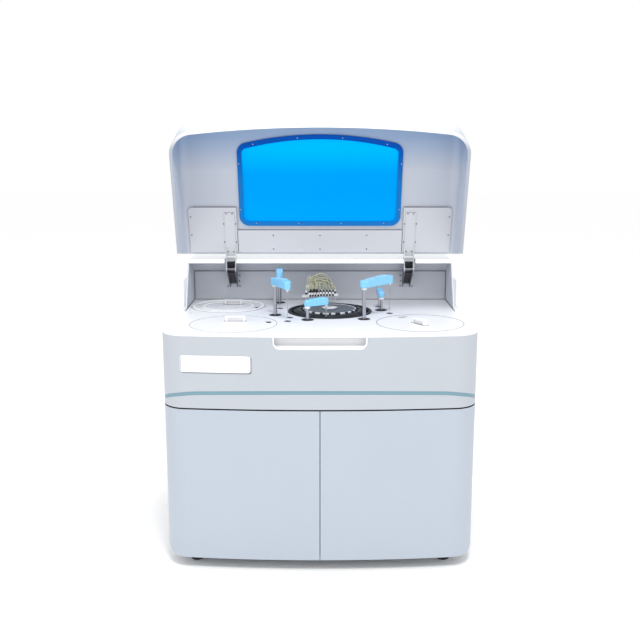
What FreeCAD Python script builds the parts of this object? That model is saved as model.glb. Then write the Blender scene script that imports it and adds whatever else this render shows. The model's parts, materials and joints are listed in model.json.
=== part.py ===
import FreeCAD, Part
import math
import os

V = FreeCAD.Vector

# Cabinet sizes. The deck is the level that the arms, covers and wells are placed from.
body_width = 1200.0
body_depth = 860.0
plan_width_share = 0.7167
deck_height = 931.0
floor_gap = 45.0
seam_drop = 282.0
front_bow = 38.0
corner_radius = 100.0
run_clear = 0.3
pin_clear = 0.06
overrun = 10.0

# Door and panel sizes
skin = 3.0
door_depth = 22.0
door_frame = 16.0
door_gap = 3.0
seam_gap = 5.5
wrap_depth = 146.0
reveal = 12.0
panel_thickness = 2.0
bottom_round = 42.0
hinge_inset = 9.0
hinge_pin_radius = 4.0
hinge_tube_radius = 7.0
hinge_tube_length = 60.0
hinge_end_gap = 40.0

# Base frame sizes
post_size = 24.0
post_inset = 8.3
tray_thickness = 6.0
rail_height = 26.0
shelf_height = 395.0
shelf_setback = 180.0
foot_radius = 26.0
foot_height = 14.0
foot_stem = 8.0
foot_inset_x = 110.0
foot_inset_y = 120.0

# Fascia sizes, measured down from the deck
fascia_wall = 8.0
stripe_drop = 216.0
stripe_height = 14.5
stripe_turn = 450.0
stripe_shoulder = 580.0
stripe_sag = 7.0
stripe_dip = 48.0
stripe_depth = 3.0
stripe_wall = 2.4
grip_width_share = 0.2967
grip_top = 9.0
grip_drop = 52.0
grip_slope = 17.0
grip_depth = 30.0
grip_wall = 5.0
grip_round = 12.0
plate_width = 266.0
plate_height = 64.0
plate_x_share = -0.3325
plate_drop = 110.0
plate_thickness = 2.0
plate_round = 8.0

# Deck sizes
deck_thickness = 6.0
cover_thickness = 3.0
cover_ledge = 10.0
cover_clear = 0.8
handle_length = 84.0
front_handle_x_share = -0.393
front_handle_y_share = 0.3372
rear_handle_x_share = -0.4453
rear_handle_y_share = 0.7814
sample_handle_x_share = 0.4547
sample_handle_y_share = 0.2651
sample_handle_angle = -57.0
handle_width = 16.0
handle_bar = 7.0
handle_rise = 22.0
handle_foot = 12.0
slot_length = 40.0
slot_width = 22.0

# Round wells and their trays
well_wall = 5.0
well_depth = 118.0
well_gap = 12.0
tray_plate = 4.0
tray_drop = 96.0
tray_gap = 10.0
hub_radius = 16.0
spindle_radius = 6.0
bottle_length = 62.0
bottle_height = 58.0
bottle_inner_width = 22.0
bottle_outer_width = 38.0
bottle_neck = 9.0
bottle_neck_height = 10.0
bottle_count = 14
tube_radius = 6.5
tube_height = 80.0
tube_clear = 0.3
tube_rack_height = 46.0
tube_count = 14

# Left to right and front to back places on the deck, from the middle of its front edge
front_cover_x_share = -0.3965
front_cover_y_share = 0.2721
front_cover_radius_share = 0.1977
rear_cover_x_share = -0.4651
rear_cover_y_share = 0.7267
rear_cover_radius_share = 0.1837
sample_cover_x_share = 0.4605
sample_cover_y_share = 0.293
sample_cover_radius_share = 0.1977
disk_x_share = 0.0477
disk_y_share = 0.593
disk_radius_share = 0.2047

# Reaction disk and bath
trough_radius_share = 0.186
trough_width = 14.0
trough_depth = 34.0
trough_wall = 2.0
trough_count = 8
divider_width = 7.0
disk_rise = 4.0
disk_plate = 5.0
disk_collar = 4.5
inner_disk_radius_share = 0.1605
disk_hub_radius = 30.0
disk_hub_height = 6.0
disk_gap = 3.0
bath_wall = 6.0
bath_depth = 62.0

# Posts of the arms, how each arm points at rest, and how far it turns to its cover's slot or its wash pot
front_post_x_share = -0.2151
front_post_y_share = 0.4837
rear_post_x_share = -0.2093
rear_post_y_share = 0.8326
sample_post_x_share = 0.207
sample_post_y_share = 0.3837
mixer_post_x_share = -0.0581
mixer_post_y_share = 0.3651
back_mixer_post_x_share = 0.3035
back_mixer_post_y_share = 0.6174
front_angle = -67.7
rear_angle = -87.3
sample_angle = 47.2
back_mixer_angle = 95.0
front_slot_angle = -29.9
rear_slot_angle = -40.9
sample_slot_angle = -31.2
mixer_wash_angle = 124.0

# Arms: reach is from the post to the probe
reagent_reach_share = 0.1721
sample_reach_share = 0.1919
mixer_reach_share = 0.0972
probe_post_radius = 7.5
mixer_post_radius = 6.5
probe_arm_level = 128.0
probe_arm_height = 39.0
probe_arm_nose = 27.0
mixer_arm_level = 55.0
mixer_arm_height = 33.0
mixer_arm_nose = 23.0
probe_arm_width = 36.0
mixer_arm_width = 27.0
nose_width_share = 0.72
rounded_share = 0.45
arm_crown_share = 0.3
arm_floor = 4.0
probe_radius = 1.2
probe_tip = 12.0
probe_holder_radius = 4.0
probe_holder_length = 12.0
mixer_tip = 7.0
paddle_radius = 1.4
paddle_width = 5.0
paddle_thickness = 1.2
paddle_height = 11.0
bush_radius = 14.0
bush_flange = 18.0
bush_flange_height = 3.0
bush_length = 40.0
bush_wall = 2.0
wash_pot_radius = 9.0
wash_pot_wall = 2.5
wash_pot_depth = 72.0
wash_pot_flange = 14.0
wash_pot_rise = 1.5

# Wash station
nozzle_count = 8
nozzle_first_angle = 81.0
nozzle_last_angle = 129.0
nozzle_radius = 1.6
nozzle_tip = 12.0
head_bottom = 40.0
head_height = 9.0
head_width = 24.0
head_end_angle = 5.0
column_y_share = 0.8465
column_x_share = -0.014
column_radius = 9.0
column_height = 112.0
column_foot_radius = 17.0
column_foot_height = 5.0
carrier_width = 34.0
carrier_height = 30.0
carrier_bottom = 62.0
manifold_length = 46.0
manifold_depth = 22.0
manifold_height = 14.0
manifold_bottom = 70.0
manifold_front = 30.0
manifold_port_gap = 5.0
port_share = 0.5
nozzle_right = 5
hose_low = 106.0
strut_width = 14.0
hose_radius = 2.2
hose_top = 146.0
hose_bend_most = 26.0
hose_bend_share = 0.46
hose_drop_share = 0.9
hose_rise_step = 8.0

# Rear housing
housing_front_share = 0.6477
housing_lean = 100.0
housing_inset = 22.0
housing_wall = 5.0
lip_under = 185.0
lip_thickness = 17.0
back_wall_y_share = 0.936
soffit_drop = 52.0
soffit_run = 60.0
shoulder_height = 112.0
shoulder_front_share = 0.7442
shoulder_width = 18.0
lip_round = 10.0

# Lid, drawn closed: its rim lies over the deck and its back follows the leaning housing
lid_wall = 12.0
lid_roof = 8.0
lid_gap = 3.0
lid_height = 208.0
lid_rim_back_share = 0.6384
lid_roof_back_share = 0.7419
lid_front_inset = 2.0
lid_edge_round = 46.0
lid_inner_round = 36.0
open_angle = 73.3
quarter_turn_angle = 90.0
pivot_x_share = 0.3267
pivot_y_share = 0.8012
pivot_z = 154.0
window_width_share = 0.5808
window_back_share = 0.5814
window_length_share = 0.4686
window_arch = 44.0
window_round = 44.0
window_border = 19.0
window_frame_thickness = 6.0
pane_thickness = 4.0
pane_lap = 8.0
plate_sheet = 2.0
plate_stand = 8.0
plate_corner_round = 16.0
side_plate_inner_share = 0.3008
side_plate_outer_share = 0.475
side_plate_front_share = 0.4814
plates_back_share = 0.7256
centre_plate_front_share = 0.6035
centre_plate_half_share = 0.2983

# Lid hinges
arm_channel_width = 44.0
arm_channel_wall = 3.0
arm_channel_height = 30.0
hinge_pad_front_share = 0.507
hinge_pad_thickness = 3.0
hinge_slot_clear = 4.0
hinge_slot_back_share = 0.8395
arm_bend_y_share = 0.7488
hinge_pad_back_share = 0.693
lid_pin_radius = 5.0
lid_pin_head = 9.0
lid_pin_head_length = 4.0
bracket_wall = 3.0
bracket_gap = 1.0
bracket_height = 62.0
bracket_half = 16.0
boss_radius = 11.0

# Things inside the cabinet and at its back
tank_width_share = 0.1917
tank_depth = 280.0
tank_height = 250.0
tank_round = 24.0
tank_neck_radius = 24.0
tank_neck_height = 12.0
tank_cap_radius = 31.0
tank_cap_height = 22.0
water_tank_x_share = -0.275
waste_tank_x_share = -0.0583
tank_y = 250.0
pump_x_share = 0.15
pump_y = 220.0
pump_radius = 55.0
pump_length = 150.0
pump_base = 20.0
pump_base_width = 120.0
pump_head_radius = 38.0
pump_head_length = 60.0
supply_x_share = 0.325
supply_y = 240.0
supply_width = 190.0
supply_depth = 260.0
supply_height = 120.0
supply_slot_count = 6
supply_slot_width = 8.0
supply_slot_height = 60.0
supply_slot_depth = 3.0
louvre_count = 7
louvre_width = 260.0
louvre_height = 9.0
louvre_pitch = 26.0
louvre_bottom = 430.0
louvre_x_share = 0.25
inlet_x_share = -0.3583
inlet_z = 180.0
inlet_width = 50.0
inlet_height = 30.0
inlet_depth = 26.0
inlet_cup = 20.0
inlet_cup_wall = 3.5
blade_width = 2.0
blade_height = 6.0
blade_length = 16.0
blade_spread = 9.0
switch_width = 28.0
switch_height = 20.0
switch_gap = 14.0
switch_depth = 12.0
switch_clear = 0.6
switch_pin_radius = 1.5
switch_stand = 2.0

# Places and sizes that follow the cabinet: the lid, housing and inside pieces follow its width and depth,
# and the deck's layout follows the lesser of its depth and a share of its width.
plan_size = min(body_width * plan_width_share, body_depth)
pivot_x = pivot_x_share * body_width
window_width = window_width_share * body_width
side_plate_inner = side_plate_inner_share * body_width
side_plate_outer = side_plate_outer_share * body_width
centre_plate_half = centre_plate_half_share * body_width
grip_width = grip_width_share * body_width
plate_x = plate_x_share * body_width
water_tank_x = water_tank_x_share * body_width
waste_tank_x = waste_tank_x_share * body_width
tank_width = tank_width_share * body_width
pump_x = pump_x_share * body_width
supply_x = supply_x_share * body_width
louvre_x = louvre_x_share * body_width
inlet_x = inlet_x_share * body_width
housing_front = housing_front_share * body_depth
back_wall_y = back_wall_y_share * body_depth
shoulder_front = shoulder_front_share * body_depth
lid_rim_back = lid_rim_back_share * body_depth
lid_roof_back = lid_roof_back_share * body_depth
pivot_y = pivot_y_share * body_depth
window_back = window_back_share * body_depth
window_length = window_length_share * body_depth
plates_back = plates_back_share * body_depth
centre_plate_front = centre_plate_front_share * body_depth
side_plate_front = side_plate_front_share * body_depth
hinge_pad_front = hinge_pad_front_share * body_depth
hinge_pad_back = hinge_pad_back_share * body_depth
arm_bend_y = arm_bend_y_share * body_depth
hinge_slot_back = hinge_slot_back_share * body_depth
front_cover_x = front_cover_x_share * plan_size
front_cover_y = front_cover_y_share * plan_size
front_cover_radius = front_cover_radius_share * plan_size
rear_cover_x = rear_cover_x_share * plan_size
rear_cover_y = rear_cover_y_share * plan_size
rear_cover_radius = rear_cover_radius_share * plan_size
sample_cover_x = sample_cover_x_share * plan_size
sample_cover_y = sample_cover_y_share * plan_size
sample_cover_radius = sample_cover_radius_share * plan_size
disk_x = disk_x_share * plan_size
disk_y = disk_y_share * plan_size
disk_radius = disk_radius_share * plan_size
trough_radius = trough_radius_share * plan_size
inner_disk_radius = inner_disk_radius_share * plan_size
front_post_x = front_post_x_share * plan_size
front_post_y = front_post_y_share * plan_size
rear_post_x = rear_post_x_share * plan_size
rear_post_y = rear_post_y_share * plan_size
sample_post_x = sample_post_x_share * plan_size
sample_post_y = sample_post_y_share * plan_size
mixer_post_x = mixer_post_x_share * plan_size
mixer_post_y = mixer_post_y_share * plan_size
back_mixer_post_x = back_mixer_post_x_share * plan_size
back_mixer_post_y = back_mixer_post_y_share * plan_size
reagent_reach = reagent_reach_share * plan_size
sample_reach = sample_reach_share * plan_size
mixer_reach = mixer_reach_share * plan_size
front_handle_x = front_handle_x_share * plan_size
front_handle_y = front_handle_y_share * plan_size
rear_handle_x = rear_handle_x_share * plan_size
rear_handle_y = rear_handle_y_share * plan_size
sample_handle_x = sample_handle_x_share * plan_size
sample_handle_y = sample_handle_y_share * plan_size
column_x = column_x_share * plan_size
column_y = column_y_share * plan_size

# Levels and places that follow from the sizes above
half_width = body_width / 2
housing_width = body_width - housing_inset * 2
front_y = -body_depth / 2
back_y = body_depth / 2
seam_height = deck_height - seam_drop
deck_under = deck_height - deck_thickness
wrap_y = front_y + wrap_depth
hinge_y = wrap_y
hinge_x = half_width - hinge_inset
side_front_y = wrap_y + reveal
door_bottom = floor_gap
door_top = seam_height - seam_gap


def box(x0, x1, y0, y1, z0, z1):
    return Part.makeBox(x1 - x0, y1 - y0, z1 - z0, V(x0, y0, z0))


def rod(x, y, z0, z1, radius):
    return Part.makeCylinder(radius, z1 - z0, V(x, y, z0))


def cross_rod(x0, x1, y, z, radius):
    return Part.makeCylinder(radius, x1 - x0, V(x0, y, z), V(1, 0, 0))


def front_rod(x, y0, y1, z, radius):
    return Part.makeCylinder(radius, y1 - y0, V(x, y0, z), V(0, 1, 0))


def ring(x, y, z0, z1, outer, inner):
    return rod(x, y, z0, z1, outer).cut(rod(x, y, z0 - overrun, z1 + overrun, inner))


def deck_y(y):
    return front_y + y


def deck_z(z):
    return deck_height + z


def upright_edges(shape, keep):
    found = []
    for edge in shape.Edges:
        start = edge.Vertexes[0].Point
        end = edge.Vertexes[-1].Point
        level = V(end.x - start.x, end.y - start.y, 0)
        if level.Length < run_clear and abs(end.z - start.z) > run_clear and keep(start):
            found.append(edge)
    return found


def polygon_wire(points):
    return Part.makePolygon([V(*p) for p in points] + [V(*points[0])])


def side_profile(points, x0, x1):
    """A solid of an outline of (y, z) points, run from x0 to x1."""
    wire = polygon_wire([(x0, y, z) for y, z in points])
    return Part.Face(wire).extrude(V(x1 - x0, 0, 0))


def rounded_block(x0, x1, y0, y1, z0, z1, radius):
    block = box(x0, x1, y0, y1, z0, z1)
    return block.makeFillet(radius, upright_edges(block, lambda p: True))


def rounded_front(x0, x1, y0, y1, z0, z1, radius):
    """A block whose four edges along Y are rounded."""
    block = box(x0, x1, y0, y1, z0, z1)
    edges = []
    for edge in block.Edges:
        start = edge.Vertexes[0].Point
        end = edge.Vertexes[-1].Point
        if abs(end.y - start.y) > abs(end.x - start.x) + abs(end.z - start.z):
            edges.append(edge)
    return block.makeFillet(radius, edges)


def bowed_prism(inset, rear, z0, z1):
    """A prism of the cabinet's plan: bowed front, round front corners, straight sides."""
    x = half_width - inset
    y = front_y + inset
    sides = y + front_bow
    far = y + body_depth * 2
    arc = Part.Arc(V(-x, sides, z0), V(0, y, z0), V(x, sides, z0)).toShape()
    right = Part.LineSegment(V(x, sides, z0), V(x, far, z0)).toShape()
    back = Part.LineSegment(V(x, far, z0), V(-x, far, z0)).toShape()
    left = Part.LineSegment(V(-x, far, z0), V(-x, sides, z0)).toShape()
    prism = Part.Face(Part.Wire([arc, right, back, left])).extrude(V(0, 0, z1 - z0))
    front_edges = upright_edges(prism, lambda p: p.y < 0)
    prism = prism.makeFillet(corner_radius - inset, front_edges)
    return prism.common(box(-body_width, body_width, y - overrun, rear, z0, z1))


def save(name, shape):
    solids = shape.Solids
    for solid in solids:
        if not solid.isValid():
            print("not valid:", name)
    if len(solids) == 1:
        result = solids[0]
    else:
        result = Part.makeCompound(solids)
    result.exportStep("parts/" + name + ".step")
    box_now = result.BoundBox
    print(name, len(solids), round(box_now.XLength, 1), round(box_now.YLength, 1), round(box_now.ZLength, 1))


def turned(shape, x, y, angle):
    copy = shape.copy()
    copy.rotate(V(x, y, 0), V(0, 0, 1), angle)
    return copy


def opened(shape):
    """Turns a lid piece from its closed place, as drawn, to the open place."""
    copy = shape.copy()
    copy.rotate(V(0, deck_y(pivot_y), deck_z(pivot_z)), V(1, 0, 0), -open_angle)
    return copy


# The cabinet

post_outer = half_width - post_inset
post_inner = post_outer - post_size
rear_skin_y = back_y - panel_thickness
frame_front_y = side_front_y
frame_rear_y = rear_skin_y - post_size
tray_top = floor_gap + tray_thickness
shelf_front_y = deck_y(shelf_setback)
lower_hinge_z = floor_gap + bottom_round + hinge_end_gap
upper_hinge_z = door_top - hinge_end_gap - hinge_tube_length


def cabinet_outline(inset, z1, radius):
    """The cabinet seen from the front: straight sides and round bottom corners."""
    x = half_width - inset
    z0 = floor_gap + inset
    block = box(-x, x, front_y - overrun, back_y + overrun, z0, z1)
    edges = []
    for edge in block.Edges:
        start = edge.Vertexes[0].Point
        end = edge.Vertexes[-1].Point
        if abs(end.y - start.y) > body_depth and abs(start.z - z0) < run_clear:
            edges.append(edge)
    return block.makeFillet(radius, edges)


def base_frame():
    inset = door_depth + door_gap
    frame = bowed_prism(inset, rear_skin_y, floor_gap, tray_top)
    frame = frame.cut(box(post_outer, body_width, front_y, back_y, 0, deck_height))
    frame = frame.cut(box(-body_width, -post_outer, front_y, back_y, 0, deck_height))
    for x0, x1 in ((post_inner, post_outer), (-post_outer, -post_inner)):
        for y0 in (frame_front_y, frame_rear_y):
            frame = frame.fuse(box(x0, x1, y0, y0 + post_size, floor_gap, deck_under))
        for z1 in (deck_under, shelf_height):
            frame = frame.fuse(box(x0, x1, frame_front_y, rear_skin_y, z1 - rail_height, z1))
    for y0 in (frame_front_y, frame_rear_y):
        rail = box(-post_outer, post_outer, y0, y0 + post_size, seam_height - rail_height, seam_height)
        frame = frame.fuse(rail)
    shelf_top = shelf_height + tray_thickness
    shelf = box(-post_outer, post_outer, shelf_front_y, rear_skin_y, shelf_height, shelf_top)
    frame = frame.fuse(shelf)
    for side in (-1, 1):
        for z in (lower_hinge_z, upper_hinge_z):
            ear_end = hinge_x + hinge_pin_radius + run_clear
            x0, x1 = sorted((side * (post_inner + hinge_inset), side * ear_end))
            ear = box(x0, x1, hinge_y - hinge_tube_radius, frame_front_y, z - tray_thickness, z)
            pin = rod(side * hinge_x, hinge_y, z - tray_thickness, z + hinge_tube_length, hinge_pin_radius)
            frame = frame.fuse([ear, pin])
    inside = panel_thickness + run_clear
    round_under = cabinet_outline(inside, body_width, bottom_round - inside)
    for side in (-1, 1):
        x0, x1 = sorted((side * (half_width - bottom_round - run_clear), side * body_width))
        corner = box(x0, x1, -body_depth, body_depth, 0, floor_gap + bottom_round)
        frame = frame.cut(corner.cut(round_under))
    return frame.removeSplitter()


def levelling_feet():
    feet = []
    for x in (-half_width + foot_inset_x, half_width - foot_inset_x):
        for y in (front_y + foot_inset_y, back_y - foot_inset_y):
            disc = Part.makeCone(foot_radius, foot_radius - foot_stem, foot_height, V(x, y, 0))
            stem = rod(x, y, foot_height, floor_gap, foot_stem)
            feet.append(disc.fuse(stem))
    return Part.makeCompound(feet)


def side_panel(side):
    """A sheet panel that folds in at its front and back edges and rolls under at the bottom."""
    shell = cabinet_outline(0, door_top, bottom_round)
    shell = shell.cut(cabinet_outline(panel_thickness, seam_height + overrun, bottom_round - panel_thickness))
    x0, x1 = sorted((side * (half_width - bottom_round), side * half_width))
    skin_part = shell.common(box(x0, x1, side_front_y, rear_skin_y, floor_gap, door_top))
    fold_x = sorted((side * post_outer, side * (half_width - panel_thickness)))
    fold_z = floor_gap + bottom_round
    for y0 in (side_front_y, rear_skin_y - panel_thickness):
        skin_part = skin_part.fuse(box(fold_x[0], fold_x[1], y0, y0 + panel_thickness, fold_z, door_top))
    return skin_part.removeSplitter()


def rear_panel():
    panel = box(-half_width, half_width, rear_skin_y, back_y, floor_gap, deck_under)
    panel = panel.common(cabinet_outline(0, deck_height, bottom_round))
    for side in (-1, 1):
        for number in range(louvre_count):
            z = louvre_bottom + number * louvre_pitch
            x = side * louvre_x
            half = louvre_width / 2
            slot = box(x - half, x + half, rear_skin_y - overrun, back_y + overrun, z, z + louvre_height)
            panel = panel.cut(slot)
    return panel.cut(inlet_opening())


def door(side):
    """A bowed pan that wraps the front corner and turns on two pins inside that corner."""
    band = bowed_prism(0, wrap_y - run_clear, door_bottom, door_top)
    band = band.cut(bowed_prism(door_depth, wrap_y + overrun, door_bottom - overrun, door_top + overrun))
    band = band.common(cabinet_outline(0, seam_height, bottom_round))
    x0, x1 = sorted((side * door_gap / 2, side * half_width))
    leaf = band.common(box(x0, x1, front_y, back_y, door_bottom, door_top))
    pocket = bowed_prism(skin, wrap_y + overrun, door_bottom, door_top)
    low = door_bottom - overrun
    high = door_top + overrun
    pocket = pocket.cut(bowed_prism(door_depth + overrun, wrap_y + overrun, low, high))
    room = cabinet_outline(door_frame, door_top - door_frame, bottom_round - door_frame)
    p0, p1 = sorted((side * (door_gap / 2 + door_frame), side * half_width))
    pocket = pocket.common(room).common(box(p0, p1, front_y, wrap_y - door_frame, door_bottom, door_top))
    leaf = leaf.cut(pocket)
    bore = hinge_pin_radius + pin_clear
    keep_out = hinge_tube_radius + hinge_inset
    for z in (lower_hinge_z, upper_hinge_z):
        ear_under = z - tray_thickness - run_clear * 2
        leaf = leaf.cut(rod(side * hinge_x, hinge_y, ear_under, z + run_clear, keep_out))
        tube = rod(side * hinge_x, hinge_y, z + run_clear, z + hinge_tube_length, hinge_tube_radius)
        leaf = leaf.fuse(tube)
        leaf = leaf.cut(rod(side * hinge_x, hinge_y, z - overrun, z + hinge_tube_length + overrun, bore))
    return leaf.removeSplitter()


def front_fascia():
    """The moulded band between the doors and the deck, with its trim groove and grip pocket."""
    band = bowed_prism(0, rear_skin_y, seam_height, deck_under)
    low = seam_height - overrun
    band = band.cut(bowed_prism(fascia_wall, rear_skin_y + overrun, low, deck_under + overrun))
    floor_z = deck_z(-grip_drop)
    half = grip_width / 2
    back = front_y + grip_depth
    outer = half + grip_wall
    floor_under = floor_z - grip_wall
    backing = box(-outer, outer, front_y + grip_wall, back + grip_wall, floor_under, deck_under)
    band = band.fuse(backing.common(bowed_prism(skin, back_y, seam_height, deck_under)))
    slope = grip_slope / grip_depth
    profile = [
        (front_y - overrun, deck_z(-grip_top)),
        (back, deck_z(-grip_top)),
        (back, floor_z + grip_slope),
        (front_y - overrun, floor_z - slope * overrun),
    ]
    pocket = side_profile(profile, -half, half)
    top = deck_z(-grip_top)
    front = front_y - overrun
    rounding = rounded_front(-half, half, front, back + overrun, floor_z - overrun, top, grip_round)
    band = band.cut(pocket.common(rounding))
    behind_trim = bowed_prism(stripe_depth, rear_skin_y + overrun, seam_height, deck_under)
    return band.cut(trim_band().cut(behind_trim)).removeSplitter()


def trim_edge(z):
    """One edge of the trim seen from the front: a shallow arc that dips round each front corner."""
    y = front_y - overrun
    sag_z = z - stripe_sag
    shoulder_z = sag_z - stripe_sag * 2 / stripe_turn * (stripe_shoulder - stripe_turn)
    dip_z = z - stripe_dip
    edges = [Part.Arc(V(-stripe_turn, y, sag_z), V(0, y, z), V(stripe_turn, y, sag_z)).toShape()]
    for side in (-1, 1):
        end = V(side * half_width, y, dip_z)
        bend = Part.BezierCurve()
        bend.setPoles([V(side * stripe_turn, y, sag_z), V(side * stripe_shoulder, y, shoulder_z), end])
        edges.append(bend.toShape())
        edges.append(Part.LineSegment(end, V(side * (half_width + overrun), y, dip_z)).toShape())
    return edges


def trim_band():
    middle = deck_z(-stripe_drop)
    half = stripe_height / 2
    y = front_y - overrun
    edges = trim_edge(middle + half) + trim_edge(middle - half)
    for x in (-half_width - overrun, half_width + overrun):
        low = V(x, y, middle - stripe_dip - half)
        high = V(x, y, middle - stripe_dip + half)
        edges.append(Part.LineSegment(low, high).toShape())
    outline = Part.Wire(Part.sortEdges(edges)[0])
    return Part.Face(outline).extrude(V(0, rear_skin_y + overrun - y, 0))


def fascia_stripe():
    band = bowed_prism(stripe_depth - stripe_wall, rear_skin_y, seam_height, deck_under)
    behind_trim = bowed_prism(stripe_depth, rear_skin_y + overrun, seam_height, deck_under)
    return trim_band().common(band).cut(behind_trim)


def nameplate():
    middle = deck_z(-plate_drop)
    x0 = plate_x - plate_width / 2
    x1 = plate_x + plate_width / 2
    sheet = bowed_prism(-plate_thickness, back_y, middle - plate_height, middle + plate_height)
    sheet = sheet.cut(bowed_prism(0, back_y, middle - plate_height, middle + plate_height))
    z0 = middle - plate_height / 2
    z1 = z0 + plate_height
    outline = rounded_front(x0, x1, front_y - overrun, front_y + wrap_depth, z0, z1, plate_round)
    return sheet.common(outline)


def reach_angle(x, y, reach, way):
    """The turn at which a probe of this reach stands over the trough, on the given side of the disk."""
    dx = disk_x - x
    dy = disk_y - y
    gap = math.hypot(dx, dy)
    turn = math.acos((reach**2 + gap**2 - trough_radius**2) / (2 * reach * gap))
    return math.degrees(math.atan2(dy, dx) + way * turn)


# Each arm: post place, reach, level, height and nose height, width, post radius, tip, rest angle
probe_form = (probe_arm_level, probe_arm_height, probe_arm_nose, probe_arm_width, probe_post_radius)
mixer_form = (mixer_arm_level, mixer_arm_height, mixer_arm_nose, mixer_arm_width, mixer_post_radius)
front_post = (front_post_x, front_post_y)
rear_post = (rear_post_x, rear_post_y)
sample_post = (sample_post_x, sample_post_y)
mixer_post = (mixer_post_x, mixer_post_y)
back_mixer_post = (back_mixer_post_x, back_mixer_post_y)
mixer_angle = reach_angle(mixer_post[0], mixer_post[1], mixer_reach, -1)


def arm_point(post, reach, angle):
    turn = math.radians(angle)
    return post[0] + reach * math.cos(turn), post[1] + reach * math.sin(turn)


front_slot = arm_point(front_post, reagent_reach, front_angle + front_slot_angle)
rear_slot = arm_point(rear_post, reagent_reach, rear_angle + rear_slot_angle)
sample_slot = arm_point(sample_post, sample_reach, sample_angle + sample_slot_angle)
wash_places = [
    arm_point(front_post, reagent_reach, front_angle),
    arm_point(rear_post, reagent_reach, rear_angle),
    arm_point(sample_post, sample_reach, sample_angle),
    arm_point(mixer_post, mixer_reach, mixer_angle + mixer_wash_angle),
    arm_point(back_mixer_post, mixer_reach, back_mixer_angle),
]
post_places = [front_post, rear_post, sample_post, mixer_post, back_mixer_post]
cover_places = [
    (front_cover_x, front_cover_y, front_cover_radius),
    (rear_cover_x, rear_cover_y, rear_cover_radius),
    (sample_cover_x, sample_cover_y, sample_cover_radius),
]


def work_deck():
    deck = bowed_prism(lid_front_inset / 2, rear_skin_y + panel_thickness, deck_under, deck_height)
    for x, y, radius in cover_places:
        deck = deck.cut(rod(x, deck_y(y), deck_under - overrun, deck_height + overrun, radius - cover_ledge))
        seat = rod(x, deck_y(y), deck_height - cover_thickness, deck_height + overrun, radius + cover_clear)
        deck = deck.cut(seat)
    hole = disk_radius + disk_gap
    deck = deck.cut(rod(disk_x, deck_y(disk_y), deck_under - overrun, deck_height + overrun, hole))
    for x, y in post_places:
        hole = bush_radius + pin_clear
        deck = deck.cut(rod(x, deck_y(y), deck_under - overrun, deck_height + overrun, hole))
    for x, y in wash_places:
        hole = wash_pot_radius + wash_pot_wall
        deck = deck.cut(rod(x, deck_y(y), deck_under - overrun, deck_height + overrun, hole))
    return deck


def wash_pots():
    pots = []
    outer = wash_pot_radius + wash_pot_wall
    for x, y in wash_places:
        bottom = deck_height - wash_pot_depth
        pot = rod(x, deck_y(y), bottom, deck_height, outer)
        pot = pot.fuse(rod(x, deck_y(y), deck_height, deck_height + wash_pot_rise, wash_pot_flange))
        bore = rod(x, deck_y(y), bottom + wash_pot_wall, deck_height + overrun, wash_pot_radius)
        pots.append(pot.cut(bore))
    return Part.makeCompound(pots)


def round_well(x, y, radius):
    inner = radius - cover_ledge
    bottom = deck_under - well_depth
    cup = ring(x, deck_y(y), bottom, deck_under, inner + well_wall, inner)
    floor_plate = rod(x, deck_y(y), bottom, bottom + well_wall, inner + well_wall)
    tray_bottom = bottom + well_wall + well_gap
    shoulder = rod(x, deck_y(y), bottom, tray_bottom - run_clear, hub_radius)
    spindle = rod(x, deck_y(y), bottom, tray_bottom + tray_plate + hub_radius, spindle_radius)
    return cup.fuse([floor_plate, shoulder, spindle]).removeSplitter()


def tray_level():
    return deck_under - well_depth + well_wall + well_gap


def turn_tray(x, y, radius):
    z = tray_level()
    plate = rod(x, deck_y(y), z, z + tray_plate, radius - cover_ledge - tray_gap)
    hub = rod(x, deck_y(y), z, z + tray_plate + hub_radius, hub_radius)
    bore = rod(x, deck_y(y), z - overrun, z + tray_drop, spindle_radius + pin_clear)
    return plate.fuse(hub).cut(bore).removeSplitter()


def bottles(x, y, slot):
    """Wedge-shaped reagent bottles in a ring, each with its open neck under the cover's slot circle."""
    z = tray_level() + tray_plate
    dx = slot[0] - x
    dy = slot[1] - y
    neck_place = math.hypot(dx, dy)
    outer = neck_place + bottle_neck
    inner = outer - bottle_length
    first = math.degrees(math.atan2(dy, dx))
    points = [
        V(inner, -bottle_inner_width / 2, 0),
        V(outer, -bottle_outer_width / 2, 0),
        V(outer, bottle_outer_width / 2, 0),
        V(inner, bottle_inner_width / 2, 0),
    ]
    body = Part.Face(Part.makePolygon(points + points[:1])).extrude(V(0, 0, bottle_height))
    top = bottle_height + bottle_neck_height
    neck = rod(neck_place, 0, bottle_height, top, bottle_neck)
    bore = rod(neck_place, 0, bottle_height / 2, top + overrun, bottle_neck - tray_plate / 2)
    bottle = body.fuse(neck).cut(bore)
    found = []
    for number in range(bottle_count):
        copy = bottle.copy()
        copy.rotate(V(0, 0, 0), V(0, 0, 1), first + number * 360 / bottle_count)
        copy.translate(V(x, deck_y(y), z))
        found.append(copy)
    return Part.makeCompound(found)


def tube_places():
    dx = sample_slot[0] - sample_cover_x
    dy = sample_slot[1] - sample_cover_y
    radius = math.hypot(dx, dy)
    first = math.atan2(dy, dx)
    places = []
    for number in range(tube_count):
        turn = first + number * 2 * math.pi / tube_count
        places.append((sample_cover_x + radius * math.cos(turn), sample_cover_y + radius * math.sin(turn)))
    return places


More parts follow.
